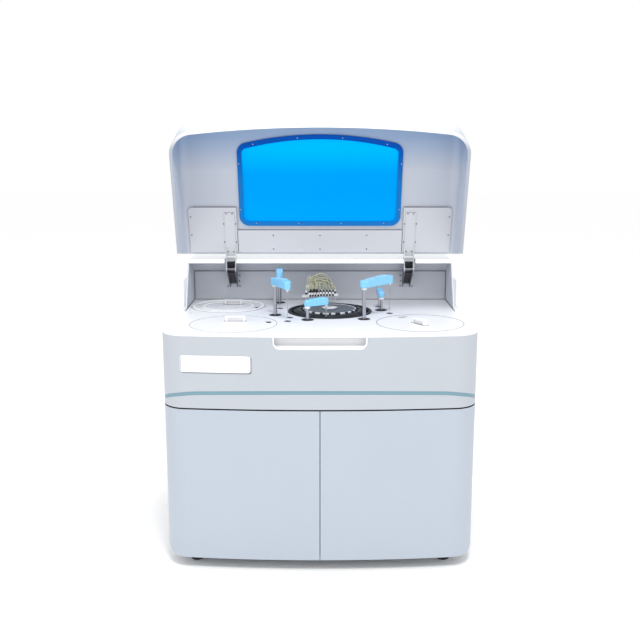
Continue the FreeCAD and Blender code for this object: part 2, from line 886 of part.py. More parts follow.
def sample_tray():
    tray = turn_tray(sample_cover_x, sample_cover_y, sample_cover_radius)
    z = tray_level() + tube_rack_height
    radius = sample_cover_radius - cover_ledge - tray_gap / 2
    rack = rod(sample_cover_x, deck_y(sample_cover_y), z, z + tray_plate, radius)
    bore = spindle_radius + pin_clear
    column = ring(sample_cover_x, deck_y(sample_cover_y), tray_level(), z + tray_plate, hub_radius, bore)
    tray = tray.fuse([rack, column])
    tray = tray.cut(rod(sample_cover_x, deck_y(sample_cover_y), z - tray_plate, z + tray_drop, bore))
    for x, y in tube_places():
        tray = tray.cut(rod(x, deck_y(y), z - tray_plate, z + tray_plate + overrun, tube_radius + tube_clear))
    return tray.removeSplitter()


def sample_tubes():
    z = tray_level() + tray_plate
    found = []
    for x, y in tube_places():
        tube = rod(x, deck_y(y), z, z + tube_height, tube_radius)
        bore = rod(x, deck_y(y), z + tube_radius, z + tube_height + overrun, tube_radius - probe_radius)
        found.append(tube.cut(bore))
    return Part.makeCompound(found)


def cover(place, slot, handle_x, handle_y, handle_turn):
    """A round cover, flush in its seat, with a bar handle and a hole for the probe."""
    x, y, radius = place
    z0 = deck_height - cover_thickness
    disc = rod(x, deck_y(y), z0, deck_height, radius)
    hole = rounded_block(
        slot[0] - slot_length / 2,
        slot[0] + slot_length / 2,
        deck_y(slot[1]) - slot_width / 2,
        deck_y(slot[1]) + slot_width / 2,
        z0 - overrun,
        deck_height + overrun,
        slot_width * rounded_share,
    )
    toward = math.degrees(math.atan2(slot[1] - y, slot[0] - x)) + quarter_turn_angle
    disc = disc.cut(turned(hole, slot[0], deck_y(slot[1]), toward))
    top = deck_height + handle_rise
    half = handle_length / 2
    bar = rounded_block(
        handle_x - half,
        handle_x + half,
        deck_y(handle_y) - handle_width / 2,
        deck_y(handle_y) + handle_width / 2,
        deck_height,
        top,
        handle_width * rounded_share,
    )
    gap = box(
        handle_x - half + handle_foot,
        handle_x + half - handle_foot,
        deck_y(handle_y) - handle_width,
        deck_y(handle_y) + handle_width,
        deck_height,
        top - handle_bar,
    )
    bar = turned(bar.cut(gap), handle_x, deck_y(handle_y), handle_turn)
    return disc.fuse(bar).removeSplitter()



def cuvette_ring():
    """The black outer ring of the reaction disk, with a round trough split by dividers."""
    top = disk_rise
    inner_wall = trough_radius - trough_width / 2
    outer_wall = trough_radius + trough_width / 2
    low = top - trough_depth
    points = [
        (inner_disk_radius, top),
        (inner_wall, top),
        (inner_wall, low),
        (outer_wall, low),
        (outer_wall, top),
        (disk_radius, top),
        (disk_radius, top - disk_plate),
        (outer_wall + trough_wall, top - disk_plate),
        (outer_wall + trough_wall, low - trough_wall),
        (inner_wall - trough_wall, low - trough_wall),
        (inner_wall - trough_wall, top - disk_plate),
        (inner_disk_radius, top - disk_plate),
    ]
    face = Part.Face(polygon_wire([(r, 0, z) for r, z in points]))
    body = face.revolve(V(0, 0, 0), V(0, 0, 1), 360)
    step = (nozzle_last_angle - nozzle_first_angle) / (nozzle_count - 1)
    first = nozzle_first_angle + step * 3 / 2
    for number in range(trough_count):
        half = divider_width / 2
        wall = box(inner_wall - run_clear, outer_wall + run_clear, -half, half, low, top)
        wall.rotate(V(0, 0, 0), V(0, 0, 1), first + number * 360 / trough_count)
        body = body.fuse(wall)
    body = body.removeSplitter()
    body.translate(V(disk_x, deck_y(disk_y), deck_height))
    return body


def reaction_disk():
    top = deck_z(disk_rise)
    y = deck_y(disk_y)
    plate = rod(disk_x, y, top - disk_plate, top, inner_disk_radius)
    collar = rod(disk_x, y, top - disk_plate - disk_collar, top, hub_radius)
    bore = rod(disk_x, y, top - tray_drop, top - disk_plate / 2, spindle_radius + pin_clear)
    return plate.fuse(collar).cut(bore).removeSplitter()


def disk_hub():
    top = deck_z(disk_rise)
    foot = V(disk_x, deck_y(disk_y), top)
    hub = Part.makeCone(disk_hub_radius, disk_hub_radius - disk_hub_height, disk_hub_height, foot)
    return hub


def reaction_bath():
    inner = disk_radius + disk_gap
    y = deck_y(disk_y)
    bottom = deck_under - bath_depth
    cup = ring(disk_x, y, bottom, deck_under, inner + bath_wall, inner)
    floor_plate = rod(disk_x, y, bottom, bottom + bath_wall, inner + bath_wall)
    collar_low = deck_z(disk_rise) - disk_plate - disk_collar
    shoulder = rod(disk_x, y, bottom, collar_low - run_clear, hub_radius)
    spindle = rod(disk_x, y, bottom, deck_z(disk_rise) - disk_plate / 2 - run_clear, spindle_radius)
    return cup.fuse([floor_plate, shoulder, spindle]).removeSplitter()


# The arms


def arm_bush(post, form):
    radius = form[4]
    x, y = post[0], deck_y(post[1])
    low = deck_height - bush_length
    sleeve = ring(x, y, low, deck_height + run_clear, bush_radius, bush_radius - bush_wall)
    flange = rod(x, y, deck_height + run_clear, deck_height + bush_flange_height, bush_flange)
    bore = rod(x, y, deck_height, deck_height + overrun, radius + pin_clear)
    return sleeve.fuse(flange).cut(bore).removeSplitter()


def arm_cover(post, reach, angle, form):
    """A moulded arm: its top rises from the post to a crown near the probe end."""
    level, height, nose, width, radius = form
    big = width / 2
    small = big * nose_width_share
    tilt = math.acos((big - small) / reach)
    c, s = math.cos(tilt), math.sin(tilt)
    left = V(big * c, big * s, 0)
    right = V(big * c, -big * s, 0)
    far_left = V(reach + small * c, small * s, 0)
    far_right = V(reach + small * c, -small * s, 0)
    plan = Part.Wire([
        Part.LineSegment(left, far_left).toShape(),
        Part.Arc(far_left, V(reach + small, 0, 0), far_right).toShape(),
        Part.LineSegment(far_right, right).toShape(),
        Part.Arc(right, V(-big, 0, 0), left).toShape(),
    ])
    body = Part.Face(plan).extrude(V(0, 0, height))
    start = V(-big - overrun, -width, 0)
    end = V(reach + small + overrun, -width, 0)
    crown = V(reach * (1 - arm_crown_share), -width, height)
    rising = V(crown.x / 2, -width, (nose + height) / 2 + arm_floor / 2)
    rise = Part.Arc(start + V(0, 0, nose), rising, crown).toShape()
    falling = V((crown.x + end.x) / 2, -width, height - arm_floor / 2)
    fall = Part.Arc(crown, falling, end + V(0, 0, nose)).toShape()
    side = Part.Wire([
        Part.LineSegment(start, start + V(0, 0, nose)).toShape(),
        rise,
        fall,
        Part.LineSegment(end + V(0, 0, nose), end).toShape(),
        Part.LineSegment(end, start).toShape(),
    ])
    body = body.common(Part.Face(side).extrude(V(0, width * 2, 0)))
    body = body.cut(rod(0, 0, 0, nose - arm_floor, radius))
    body.rotate(V(0, 0, 0), V(0, 0, 1), angle)
    body.translate(V(post[0], deck_y(post[1]), deck_z(level)))
    return body


def arm_shaft(post, reach, angle, form, tip, mixer):
    """The steel post of an arm, and the probe or paddle at the arm's other end."""
    level, height, nose, width, radius = form
    x, y = post[0], deck_y(post[1])
    shaft = rod(x, y, deck_height + run_clear, deck_z(level) + nose - arm_floor, radius)
    holder = rod(reach, 0, level - probe_holder_length, level, probe_holder_radius)
    if mixer:
        probe = rod(reach, 0, tip, level - probe_holder_length, paddle_radius)
        half = paddle_width / 2
        flat = paddle_thickness / 2
        probe = probe.fuse(box(reach - half, reach + half, -flat, flat, tip, tip + paddle_height))
    else:
        probe = rod(reach, 0, tip, level - probe_holder_length, probe_radius)
    probe = holder.fuse(probe).removeSplitter()
    probe.rotate(V(0, 0, 0), V(0, 0, 1), angle)
    probe.translate(V(x, y, deck_height))
    return Part.makeCompound([shaft, probe])


arms = {
    "reagent_arm_front": (front_post, reagent_reach, front_angle, probe_form, probe_tip, False),
    "reagent_arm_rear": (rear_post, reagent_reach, rear_angle, probe_form, probe_tip, False),
    "sample_arm": (sample_post, sample_reach, sample_angle, probe_form, probe_tip, False),
    "mixer_front": (mixer_post, mixer_reach, mixer_angle, mixer_form, mixer_tip, True),
    "mixer_rear": (back_mixer_post, mixer_reach, back_mixer_angle, mixer_form, mixer_tip, True),
}


# The wash station


def nozzle_places():
    step = (nozzle_last_angle - nozzle_first_angle) / (nozzle_count - 1)
    places = []
    for number in range(nozzle_count):
        turn = math.radians(nozzle_first_angle + number * step)
        places.append((disk_x + trough_radius * math.cos(turn), disk_y + trough_radius * math.sin(turn)))
    return places


manifold_right = column_x - manifold_port_gap
manifold_y = column_y - carrier_width / 2 - manifold_front


def wash_column():
    foot = rod(column_x, deck_y(column_y), deck_height, deck_height + column_foot_height, column_foot_radius)
    post = rod(column_x, deck_y(column_y), deck_height, deck_z(column_height), column_radius)
    return foot.fuse(post).removeSplitter()


def wash_head():
    """The nozzle bar over the trough, its manifold, and the carrier that slides on the column."""
    half = head_width / 2
    sector_from = nozzle_first_angle - head_end_angle
    sector = nozzle_last_angle - nozzle_first_angle + 2 * head_end_angle
    outer = Part.makeCylinder(trough_radius + half, head_height, V(0, 0, 0), V(0, 0, 1), sector)
    inner = rod(0, 0, -overrun, head_height + overrun, trough_radius - half)
    head = outer.cut(inner)
    head.rotate(V(0, 0, 0), V(0, 0, 1), sector_from)
    head.translate(V(disk_x, deck_y(disk_y), deck_z(head_bottom)))
    nozzles = []
    for x, y in nozzle_places():
        nozzles.append(rod(x, deck_y(y), deck_z(nozzle_tip), deck_z(head_bottom), nozzle_radius))
    top = manifold_bottom + manifold_height
    block = box(
        manifold_right - manifold_length,
        manifold_right,
        deck_y(manifold_y),
        deck_y(manifold_y) + manifold_depth,
        deck_z(manifold_bottom),
        deck_z(top),
    )
    places = nozzle_places()
    link_x = (places[4][0] + places[5][0]) / 2
    link_half = strut_width / 3
    link_y = deck_y(places[4][1])
    link = box(
        link_x - link_half,
        link_x + link_half,
        link_y - link_half,
        deck_y(manifold_y) + manifold_depth / 2,
        deck_z(head_bottom),
        deck_z(manifold_bottom + arm_floor),
    )
    strut = box(
        manifold_right - strut_width,
        manifold_right,
        deck_y(manifold_y),
        deck_y(column_y),
        deck_z(manifold_bottom),
        deck_z(top),
    )
    span = carrier_width / 2
    carrier = rounded_block(
        column_x - span,
        column_x + span,
        deck_y(column_y) - span,
        deck_y(column_y) + span,
        deck_z(carrier_bottom),
        deck_z(carrier_bottom + carrier_height),
        strut_width / 2,
    )
    head = head.fuse([block, link, strut, carrier])
    bore = rod(column_x, deck_y(column_y), deck_height, deck_z(hose_top), column_radius + pin_clear)
    return Part.makeCompound([head.cut(bore).removeSplitter()] + nozzles)


def bent_path(points, radius):
    """Straight runs joined by arcs of one radius."""
    edges = []
    last = points[0]
    for before, corner, after in zip(points, points[1:], points[2:]):
        back = (before - corner).normalize()
        ahead = (after - corner).normalize()
        half_turn = (math.pi - back.getAngle(ahead)) / 2
        cut_back = radius * math.tan(half_turn)
        start = corner + back * cut_back
        end = corner + ahead * cut_back
        middle_way = (back + ahead).normalize()
        middle = corner + middle_way * (radius / math.cos(half_turn) - radius)
        edges.append(Part.LineSegment(last, start).toShape())
        edges.append(Part.Arc(start, middle, end).toShape())
        last = end
    edges.append(Part.LineSegment(last, points[-1]).toShape())
    return Part.Wire(edges)


def wash_tubes():
    """Clear tubes that rise from the nozzles, arch over and drop to the manifold."""
    top_z = manifold_bottom + manifold_height
    pitch = manifold_length / nozzle_count
    middle_y = manifold_y + manifold_depth / 2
    tubes = []
    for number, (x, y) in enumerate(nozzle_places()):
        if number < nozzle_right:
            port = number + nozzle_count - nozzle_right
            height = hose_top - number * hose_rise_step
        else:
            port = nozzle_count - 1 - number
            height = hose_low + (number - nozzle_right) * hose_rise_step / 2
        port_x = manifold_right - manifold_length + pitch * (port + port_share)
        start = V(x, deck_y(y), deck_z(head_bottom + head_height))
        end = V(port_x, deck_y(middle_y), deck_z(top_z))
        first_bend = V(start.x, start.y, deck_z(height))
        second_bend = V(end.x, end.y, deck_z(height))
        span = first_bend.distanceToPoint(second_bend) * hose_bend_share
        drop = (height - top_z) * hose_drop_share
        bend = min(hose_bend_most, span, drop)
        path = bent_path([start, first_bend, second_bend, end], bend)
        section = Part.Wire(Part.Circle(start, V(0, 0, 1), hose_radius).toShape())
        tubes.append(path.makePipeShell([section], True, True))
    return Part.makeCompound(tubes)


# The rear housing and the hinges


def housing_line(z):
    """How far back the leaning front edge of the housing lies at a height over the deck."""
    return housing_front + housing_lean * z / lip_under


def rear_housing():
    """A recess behind the deck: leaning side walls, a sloping soffit, and a lip cut for the hinges."""
    top = lip_under + lip_thickness
    x = housing_width / 2
    rear = body_depth
    outline = [(housing_line(0), 0), (housing_line(top), top), (rear, top), (rear, 0)]
    outer = side_profile([(deck_y(y), deck_z(z)) for y, z in outline], -x, x)
    edges = []
    for edge in outer.Edges:
        if all(abs(v.Z - deck_z(top)) < run_clear for v in edge.Vertexes):
            if any(abs(v.Y - deck_y(rear)) > run_clear for v in edge.Vertexes):
                edges.append(edge)
    outer = outer.makeFillet(lip_round, edges)
    soffit_y = back_wall_y - soffit_run
    room = [
        (housing_line(0) - housing_lean, -overrun),
        (back_wall_y, -overrun),
        (back_wall_y, lip_under - soffit_drop),
        (soffit_y, lip_under),
        (housing_line(0) - housing_lean, lip_under),
    ]
    inside = x - housing_wall
    cavity = side_profile([(deck_y(y), deck_z(z)) for y, z in room], -inside, inside)
    hollow = [
        (back_wall_y + housing_wall, -overrun),
        (rear - housing_wall, -overrun),
        (rear - housing_wall, top - housing_wall),
        (soffit_y + housing_wall, top - housing_wall),
        (soffit_y + housing_wall, lip_under + housing_wall),
        (back_wall_y + housing_wall, lip_under - soffit_drop + housing_wall),
    ]
    back_room = side_profile([(deck_y(y), deck_z(z)) for y, z in hollow], -inside, inside)
    body = outer.cut([cavity, back_room])
    for side in (-1, 1):
        half = arm_channel_width / 2 + hinge_slot_clear
        slot = box(
            side * pivot_x - half,
            side * pivot_x + half,
            deck_y(housing_line(0)),
            deck_y(hinge_slot_back),
            deck_z(lip_under - overrun),
            deck_z(top + overrun),
        )
        body = body.cut(slot)
        x0, x1 = sorted((side * x, side * (x + shoulder_width)))
        shoulder = box(x0, x1, deck_y(shoulder_front), deck_y(rear), deck_height, deck_z(shoulder_height))
        body = body.fuse(shoulder)
    return body.removeSplitter()


def hinge_brackets():
    """Two steel brackets on the back wall, each with the pin that its lid arm turns on."""
    brackets = []
    inner = arm_channel_width / 2 - arm_channel_wall - bracket_gap
    outline = [
        (pivot_y - boss_radius, pivot_z),
        (pivot_y, pivot_z + boss_radius),
        (back_wall_y, lip_under - soffit_drop - bracket_half),
        (back_wall_y, lip_under - soffit_drop - bracket_half - bracket_height),
        (pivot_y, pivot_z - boss_radius),
    ]
    points = [(deck_y(y), deck_z(z)) for y, z in outline]
    y = deck_y(pivot_y)
    z = deck_z(pivot_z)
    for side in (-1, 1):
        middle = side * pivot_x
        plates = side_profile(points, middle - inner, middle + inner)
        plates = plates.fuse(cross_rod(middle - inner, middle + inner, y, z, boss_radius))
        gap = box(
            middle - inner + bracket_wall,
            middle + inner - bracket_wall,
            deck_y(pivot_y) - bracket_height,
            deck_y(back_wall_y) - bracket_wall,
            deck_height,
            deck_z(lip_under),
        )
        plates = plates.cut(gap)
        wall_top = lip_under - soffit_drop - bracket_half
        foot = box(
            middle - inner - bracket_half,
            middle + inner + bracket_half,
            deck_y(back_wall_y) - bracket_wall,
            deck_y(back_wall_y),
            deck_z(wall_top - bracket_height),
            deck_z(wall_top),
        )
        reach = arm_channel_width / 2 + run_clear + lid_pin_head_length
        pin = cross_rod(middle - reach, middle + reach, y, z, lid_pin_radius)
        head_from = arm_channel_width / 2 + run_clear
        left_head = cross_rod(middle - reach, middle - head_from, y, z, lid_pin_head)
        right_head = cross_rod(middle + head_from, middle + reach, y, z, lid_pin_head)
        brackets.append(plates.fuse([foot, pin, left_head, right_head]).removeSplitter())
    return Part.makeCompound(brackets)


# The lid, drawn closed


def lid_back_line(z):
    share = (z - lid_gap) / (lid_height - lid_gap)
    return lid_rim_back + (lid_roof_back - lid_rim_back) * share


def top_edges(shape, z, rear):
    found = []
    for edge in shape.Edges:
        if all(abs(v.Z - z) < run_clear for v in edge.Vertexes):
            if not all(abs(v.Y - rear) < run_clear for v in edge.Vertexes):
                found.append(edge)
    return found


def window_prism(inset, z0, z1):
    """The window's outline: straight back and sides, arched front, round corners."""
    x = window_width / 2 - inset
    back = deck_y(window_back) - inset
    front = deck_y(window_back - window_length) + inset
    corner = front + window_arch
    wire = Part.Wire([
        Part.LineSegment(V(-x, back, z0), V(x, back, z0)).toShape(),
        Part.LineSegment(V(x, back, z0), V(x, corner, z0)).toShape(),
        Part.Arc(V(x, corner, z0), V(0, front, z0), V(-x, corner, z0)).toShape(),
        Part.LineSegment(V(-x, corner, z0), V(-x, back, z0)).toShape(),
    ])
    prism = Part.Face(wire).extrude(V(0, 0, z1 - z0))
    return prism.makeFillet(window_round - inset, upright_edges(prism, lambda p: True))


def lid_shell():
    rear = deck_y(lid_roof_back + overrun)
    z0 = deck_z(lid_gap)
    z1 = deck_z(lid_height)
    outer = bowed_prism(lid_front_inset, rear, z0, z1)
    outer = outer.makeFillet(lid_edge_round, top_edges(outer, z1, rear))
    roof = z1 - lid_roof
    inner = bowed_prism(lid_front_inset + lid_wall, rear, z0 - overrun, roof)
    inner = inner.makeFillet(lid_inner_round, top_edges(inner, roof, rear))
    longer = Part.makeBox(
        body_width,
        overrun * 2,
        roof - z0 + overrun,
        V(-half_width, rear - overrun / 2, z0 - overrun),
    )
    shell = outer.cut(inner).cut(longer)
    low = -overrun
    high = lid_height + overrun
    behind = [
        (lid_back_line(low), low),
        (lid_back_line(high), high),
        (body_depth, high),
        (body_depth, low),
    ]
    shell = shell.cut(side_profile([(deck_y(y), deck_z(z)) for y, z in behind], -body_width, body_width))
    hole = window_prism(window_border - pane_lap, roof - overrun, z1 + overrun)
    return shell.cut(hole)


def lid_window():
    roof = deck_z(lid_height - lid_roof)
    return window_prism(window_border - pane_lap + run_clear, roof, roof + pane_thickness)


def window_frame():
    roof = deck_z(lid_height - lid_roof)
    outer = window_prism(0, roof - window_frame_thickness, roof)
    return outer.cut(window_prism(window_border, roof - body_depth, roof + overrun))


def stood_plate(x0, x1, y0, y1, left_fold, right_fold):
    """A sheet plate that stands off the lid's roof on folded edges."""
    roof = deck_z(lid_height - lid_roof)
    z0 = roof - plate_stand - plate_sheet
    plate = box(x0, x1, deck_y(y0), deck_y(y1), z0, z0 + plate_sheet)
    loose_x = [x for x, folded in ((x0, left_fold), (x1, right_fold)) if not folded]
    if loose_x:
        corner = V(loose_x[0], deck_y(y0), z0)
        loose_edges = upright_edges(plate, lambda p: math.hypot(p.x - corner.x, p.y - corner.y) < plate_stand)
        plate = plate.makeFillet(plate_corner_round, loose_edges)
    fold_end_left = max(x0, -lid_flat_half)
    fold_end_right = min(x1, lid_flat_half)
    for y in (y0, y1 - plate_sheet):
        plate = plate.fuse(box(fold_end_left, fold_end_right, deck_y(y), deck_y(y) + plate_sheet, z0, roof))
    if left_fold:
        plate = plate.fuse(box(x0, x0 + plate_sheet, deck_y(y0), deck_y(y1), z0, roof))
    if right_fold:
        plate = plate.fuse(box(x1 - plate_sheet, x1, deck_y(y0), deck_y(y1), z0, roof))
    return plate.removeSplitter()


lid_flat_half = half_width - lid_front_inset - lid_wall - lid_inner_round - plate_sheet


def lid_side_plates():
    right = stood_plate(side_plate_inner, side_plate_outer, side_plate_front, plates_back, True, False)
    left = stood_plate(-side_plate_outer, -side_plate_inner, side_plate_front, plates_back, False, True)
    return Part.makeCompound([left, right])


def lid_centre_plate():
    return stood_plate(-centre_plate_half, centre_plate_half, centre_plate_front, plates_back, True, True)


def hinge_arms():
    """Two channel-section arms that carry the lid, open on their lower side."""
    pad_top = lid_height - lid_roof - plate_stand - plate_sheet
    outline = [
        (hinge_pad_back, pad_top),
        (arm_bend_y, pad_top),
        (pivot_y, pivot_z + boss_radius),
        (pivot_y, pivot_z - boss_radius),
        (arm_bend_y, pad_top - arm_channel_height),
        (hinge_pad_back, pad_top - arm_channel_wall),
    ]
    arms_found = []
    half = arm_channel_width / 2
    for side in (-1, 1):
        middle = side * pivot_x
        channel = side_profile([(deck_y(y), deck_z(z)) for y, z in outline], middle - half, middle + half)
        boss = cross_rod(middle - half, middle + half, deck_y(pivot_y), deck_z(pivot_z), boss_radius)
        channel = channel.fuse(boss)
        inner = half - arm_channel_wall
        web_line = [
            (hinge_pad_back - overrun, pad_top - arm_channel_wall),
            (arm_bend_y - arm_channel_wall, pad_top - arm_channel_wall),
            (arm_bend_y - arm_channel_wall, pad_top + overrun),
            (pivot_y + bracket_height, pad_top + overrun),
            (pivot_y + bracket_height, pivot_z - bracket_height),
            (hinge_pad_back - overrun, pivot_z - bracket_height),
        ]
        hollow = side_profile([(deck_y(y), deck_z(z)) for y, z in web_line], middle - inner, middle + inner)
        channel = channel.cut(hollow)
        bore = lid_pin_radius + pin_clear
        x0 = middle - body_width
        channel = channel.cut(cross_rod(x0, middle + body_width, deck_y(pivot_y), deck_z(pivot_z), bore))
        pad = box(
            middle - half,
            middle + half,
            deck_y(hinge_pad_front),
            deck_y(arm_bend_y - arm_channel_wall),
            deck_z(pad_top - hinge_pad_thickness),
            deck_z(pad_top),
        )
        arms_found.append(channel.fuse(pad).removeSplitter())
    return Part.makeCompound(arms_found)


# Things inside the cabinet and at its back


def tank(x):
    y = deck_y(tank_y)
    half_x = tank_width / 2
    half_y = tank_depth / 2
    top = tray_top + tank_height
    body = rounded_block(x - half_x, x + half_x, y - half_y, y + half_y, tray_top, top, tank_round)
    body = body.fuse(rod(x, y, top, top + tank_neck_height, tank_neck_radius))
    cap = rod(x, y, top + tank_neck_height, top + tank_neck_height + tank_cap_height, tank_cap_radius)
    return Part.makeCompound([body.removeSplitter(), cap])


def vacuum_pump():
    z = shelf_height + tray_thickness
    y0 = deck_y(pump_y)
    half = pump_base_width / 2
    axis_z = z + pump_base + pump_radius
    base = box(pump_x - half, pump_x + half, y0, y0 + pump_length, z, z + pump_base + tray_thickness)
    motor = front_rod(pump_x, y0, y0 + pump_length, axis_z, pump_radius)
    head = front_rod(pump_x, y0 - pump_head_length, y0, axis_z, pump_head_radius)
    return base.fuse([motor, head]).removeSplitter()


def power_supply():
    z = shelf_height + tray_thickness
    half = supply_width / 2
    y0 = deck_y(supply_y)
    case = box(supply_x - half, supply_x + half, y0, y0 + supply_depth, z, z + supply_height)
    pitch = supply_width / (supply_slot_count + 1)
    slot_z = z + (supply_height - supply_slot_height) / 2
    for number in range(supply_slot_count):
        x = supply_x - half + pitch * (number + 1)
        slot = box(
            x - supply_slot_width / 2,
            x + supply_slot_width / 2,
            y0 - overrun,
            y0 + supply_slot_depth,
            slot_z,
            slot_z + supply_slot_height,
        )
        case = case.cut(slot)
    return case


switch_x = inlet_x + inlet_width / 2 + switch_gap + switch_width / 2
module_left = inlet_x - inlet_width / 2
module_right = switch_x + switch_width / 2 + switch_gap / 2
rocker_y = back_y - switch_stand - switch_depth / 2


def inlet_opening():
    z0 = inlet_z - inlet_height / 2
    return box(module_left, module_right, rear_skin_y - overrun, back_y + overrun, z0, z0 + inlet_height)


def power_inlet():
    """The mains inlet with its three blades, in one moulding with the bay of the switch."""
    z0 = inlet_z - inlet_height / 2
    block = box(module_left, module_right, back_y - inlet_depth, back_y, z0, z0 + inlet_height)
    cup = rounded_front(
        module_left + inlet_cup_wall,
        inlet_x + inlet_width / 2 - inlet_cup_wall,
        back_y - inlet_cup,
        back_y + overrun,
        z0 + inlet_cup_wall,
        z0 + inlet_height - inlet_cup_wall,
        inlet_cup_wall,
    )
    block = block.cut(cup)
    for shift in (-1, 0, 1):
        x = inlet_x + shift * blade_spread
        half = blade_width / 2
        y = back_y - inlet_cup
        z = inlet_z - blade_height / 2
        blade = box(x - half, x + half, y, y + blade_length, z, z + blade_height)
        block = block.fuse(blade)
    half = switch_width / 2 + switch_clear
    rise = switch_height / 2 + switch_stand
    y = back_y - switch_depth - switch_stand * 2
    bay = box(switch_x - half, switch_x + half, y, back_y + overrun, inlet_z - rise, inlet_z + rise)
    block = block.cut(bay)
    pin = cross_rod(switch_x - half, switch_x + half, rocker_y, inlet_z, switch_pin_radius)
    return block.fuse(pin).removeSplitter()


def power_switch():
    half = switch_width / 2
    rise = switch_height / 2
    depth = switch_depth / 2
    x0 = switch_x - half
    x1 = switch_x + half
    rocker = box(x0, x1, rocker_y - depth, rocker_y + depth, inlet_z - rise, inlet_z + rise)
    bore = cross_rod(x0 - overrun, x1 + overrun, rocker_y, inlet_z, switch_pin_radius + pin_clear)
    return rocker.cut(bore)


def main():
    os.makedirs("parts", exist_ok=True)
    save("base_frame", base_frame())
    save("levelling_feet", levelling_feet())
    save("left_side_panel", side_panel(-1))
    save("right_side_panel", side_panel(1))
    save("rear_panel", rear_panel())
    save("left_door", door(-1))
    save("right_door", door(1))
    save("front_fascia", front_fascia())
    save("fascia_stripe", fascia_stripe())
    save("nameplate", nameplate())
    save("work_deck", work_deck())
    save("wash_pots", wash_pots())
    save("reagent_well_front", round_well(*cover_places[0]))
    save("reagent_well_rear", round_well(*cover_places[1]))
    save("sample_well", round_well(*cover_places[2]))
    save("reagent_tray_front", turn_tray(*cover_places[0]))
    save("reagent_tray_rear", turn_tray(*cover_places[1]))
    save("sample_tray", sample_tray())
    save("reagent_bottles_front", bottles(front_cover_x, front_cover_y, front_slot))
    save("reagent_bottles_rear", bottles(rear_cover_x, rear_cover_y, rear_slot))
    save("sample_tubes", sample_tubes())
    save("reagent_cover_front", cover(cover_places[0], front_slot, front_handle_x, front_handle_y, 0))
    save("reagent_cover_rear", cover(cover_places[1], rear_slot, rear_handle_x, rear_handle_y, 0))
    turn = sample_handle_angle
    save("sample_cover", cover(cover_places[2], sample_slot, sample_handle_x, sample_handle_y, turn))
    save("cuvette_ring", cuvette_ring())
    save("reaction_disk", reaction_disk())
    save("disk_hub", disk_hub())
    save("reaction_bath", reaction_bath())
    for name, (post, reach, angle, form, tip, mixer) in arms.items():
        save(name + "_bush", arm_bush(post, form))
        save(name + "_shaft", arm_shaft(post, reach, angle, form, tip, mixer))
        save(name + "_cover", arm_cover(post, reach, angle, form))
    save("wash_column", wash_column())
    save("wash_head", wash_head())
    save("wash_tubes", wash_tubes())
    save("rear_housing", rear_housing())
    save("hinge_brackets", hinge_brackets())
    save("lid_shell", opened(lid_shell()))
    save("lid_window", opened(lid_window()))
    save("window_frame", opened(window_frame()))
    save("lid_side_plates", opened(lid_side_plates()))
    save("lid_centre_plate", opened(lid_centre_plate()))
    save("hinge_arms", opened(hinge_arms()))
    save("water_tank", tank(water_tank_x))
    save("waste_tank", tank(waste_tank_x))
    save("vacuum_pump", vacuum_pump())
    save("power_supply", power_supply())
    save("power_inlet", power_inlet())
    save("power_switch", power_switch())


main()
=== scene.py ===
import json
import math
import random

import bpy
from mathutils import Matrix, Vector


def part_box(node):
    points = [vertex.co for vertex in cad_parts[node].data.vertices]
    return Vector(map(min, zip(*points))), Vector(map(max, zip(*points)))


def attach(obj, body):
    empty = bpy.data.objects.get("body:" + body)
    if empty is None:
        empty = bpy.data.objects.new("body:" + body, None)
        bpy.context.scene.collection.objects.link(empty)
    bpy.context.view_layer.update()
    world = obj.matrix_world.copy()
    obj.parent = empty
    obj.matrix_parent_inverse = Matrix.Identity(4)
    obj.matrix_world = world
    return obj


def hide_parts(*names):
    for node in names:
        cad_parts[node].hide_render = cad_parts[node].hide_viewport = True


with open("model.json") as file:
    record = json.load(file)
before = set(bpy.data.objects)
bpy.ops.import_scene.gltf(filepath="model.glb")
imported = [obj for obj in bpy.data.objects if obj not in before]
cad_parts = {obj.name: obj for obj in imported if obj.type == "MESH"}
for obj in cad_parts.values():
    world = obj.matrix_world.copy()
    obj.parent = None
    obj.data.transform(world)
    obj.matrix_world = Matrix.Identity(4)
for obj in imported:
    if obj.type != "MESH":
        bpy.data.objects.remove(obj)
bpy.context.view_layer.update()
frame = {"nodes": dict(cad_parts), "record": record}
nodes = frame["nodes"]
print("frame loaded,", len(nodes), "nodes")


class Number:  # a shader value that takes + and *, so that the maths reads as written
    def __init__(self, look, socket):
        self.look = look
        self.socket = socket

    def maths(self, operation, other):
        return self.look.node("ShaderNodeMath", {"operation": operation}, {0: self, 1: other})

    def __add__(self, other):
        return self.maths("ADD", other)

    def __mul__(self, other):
        return self.maths("MULTIPLY", other)

    __radd__ = __add__
    __rmul__ = __mul__


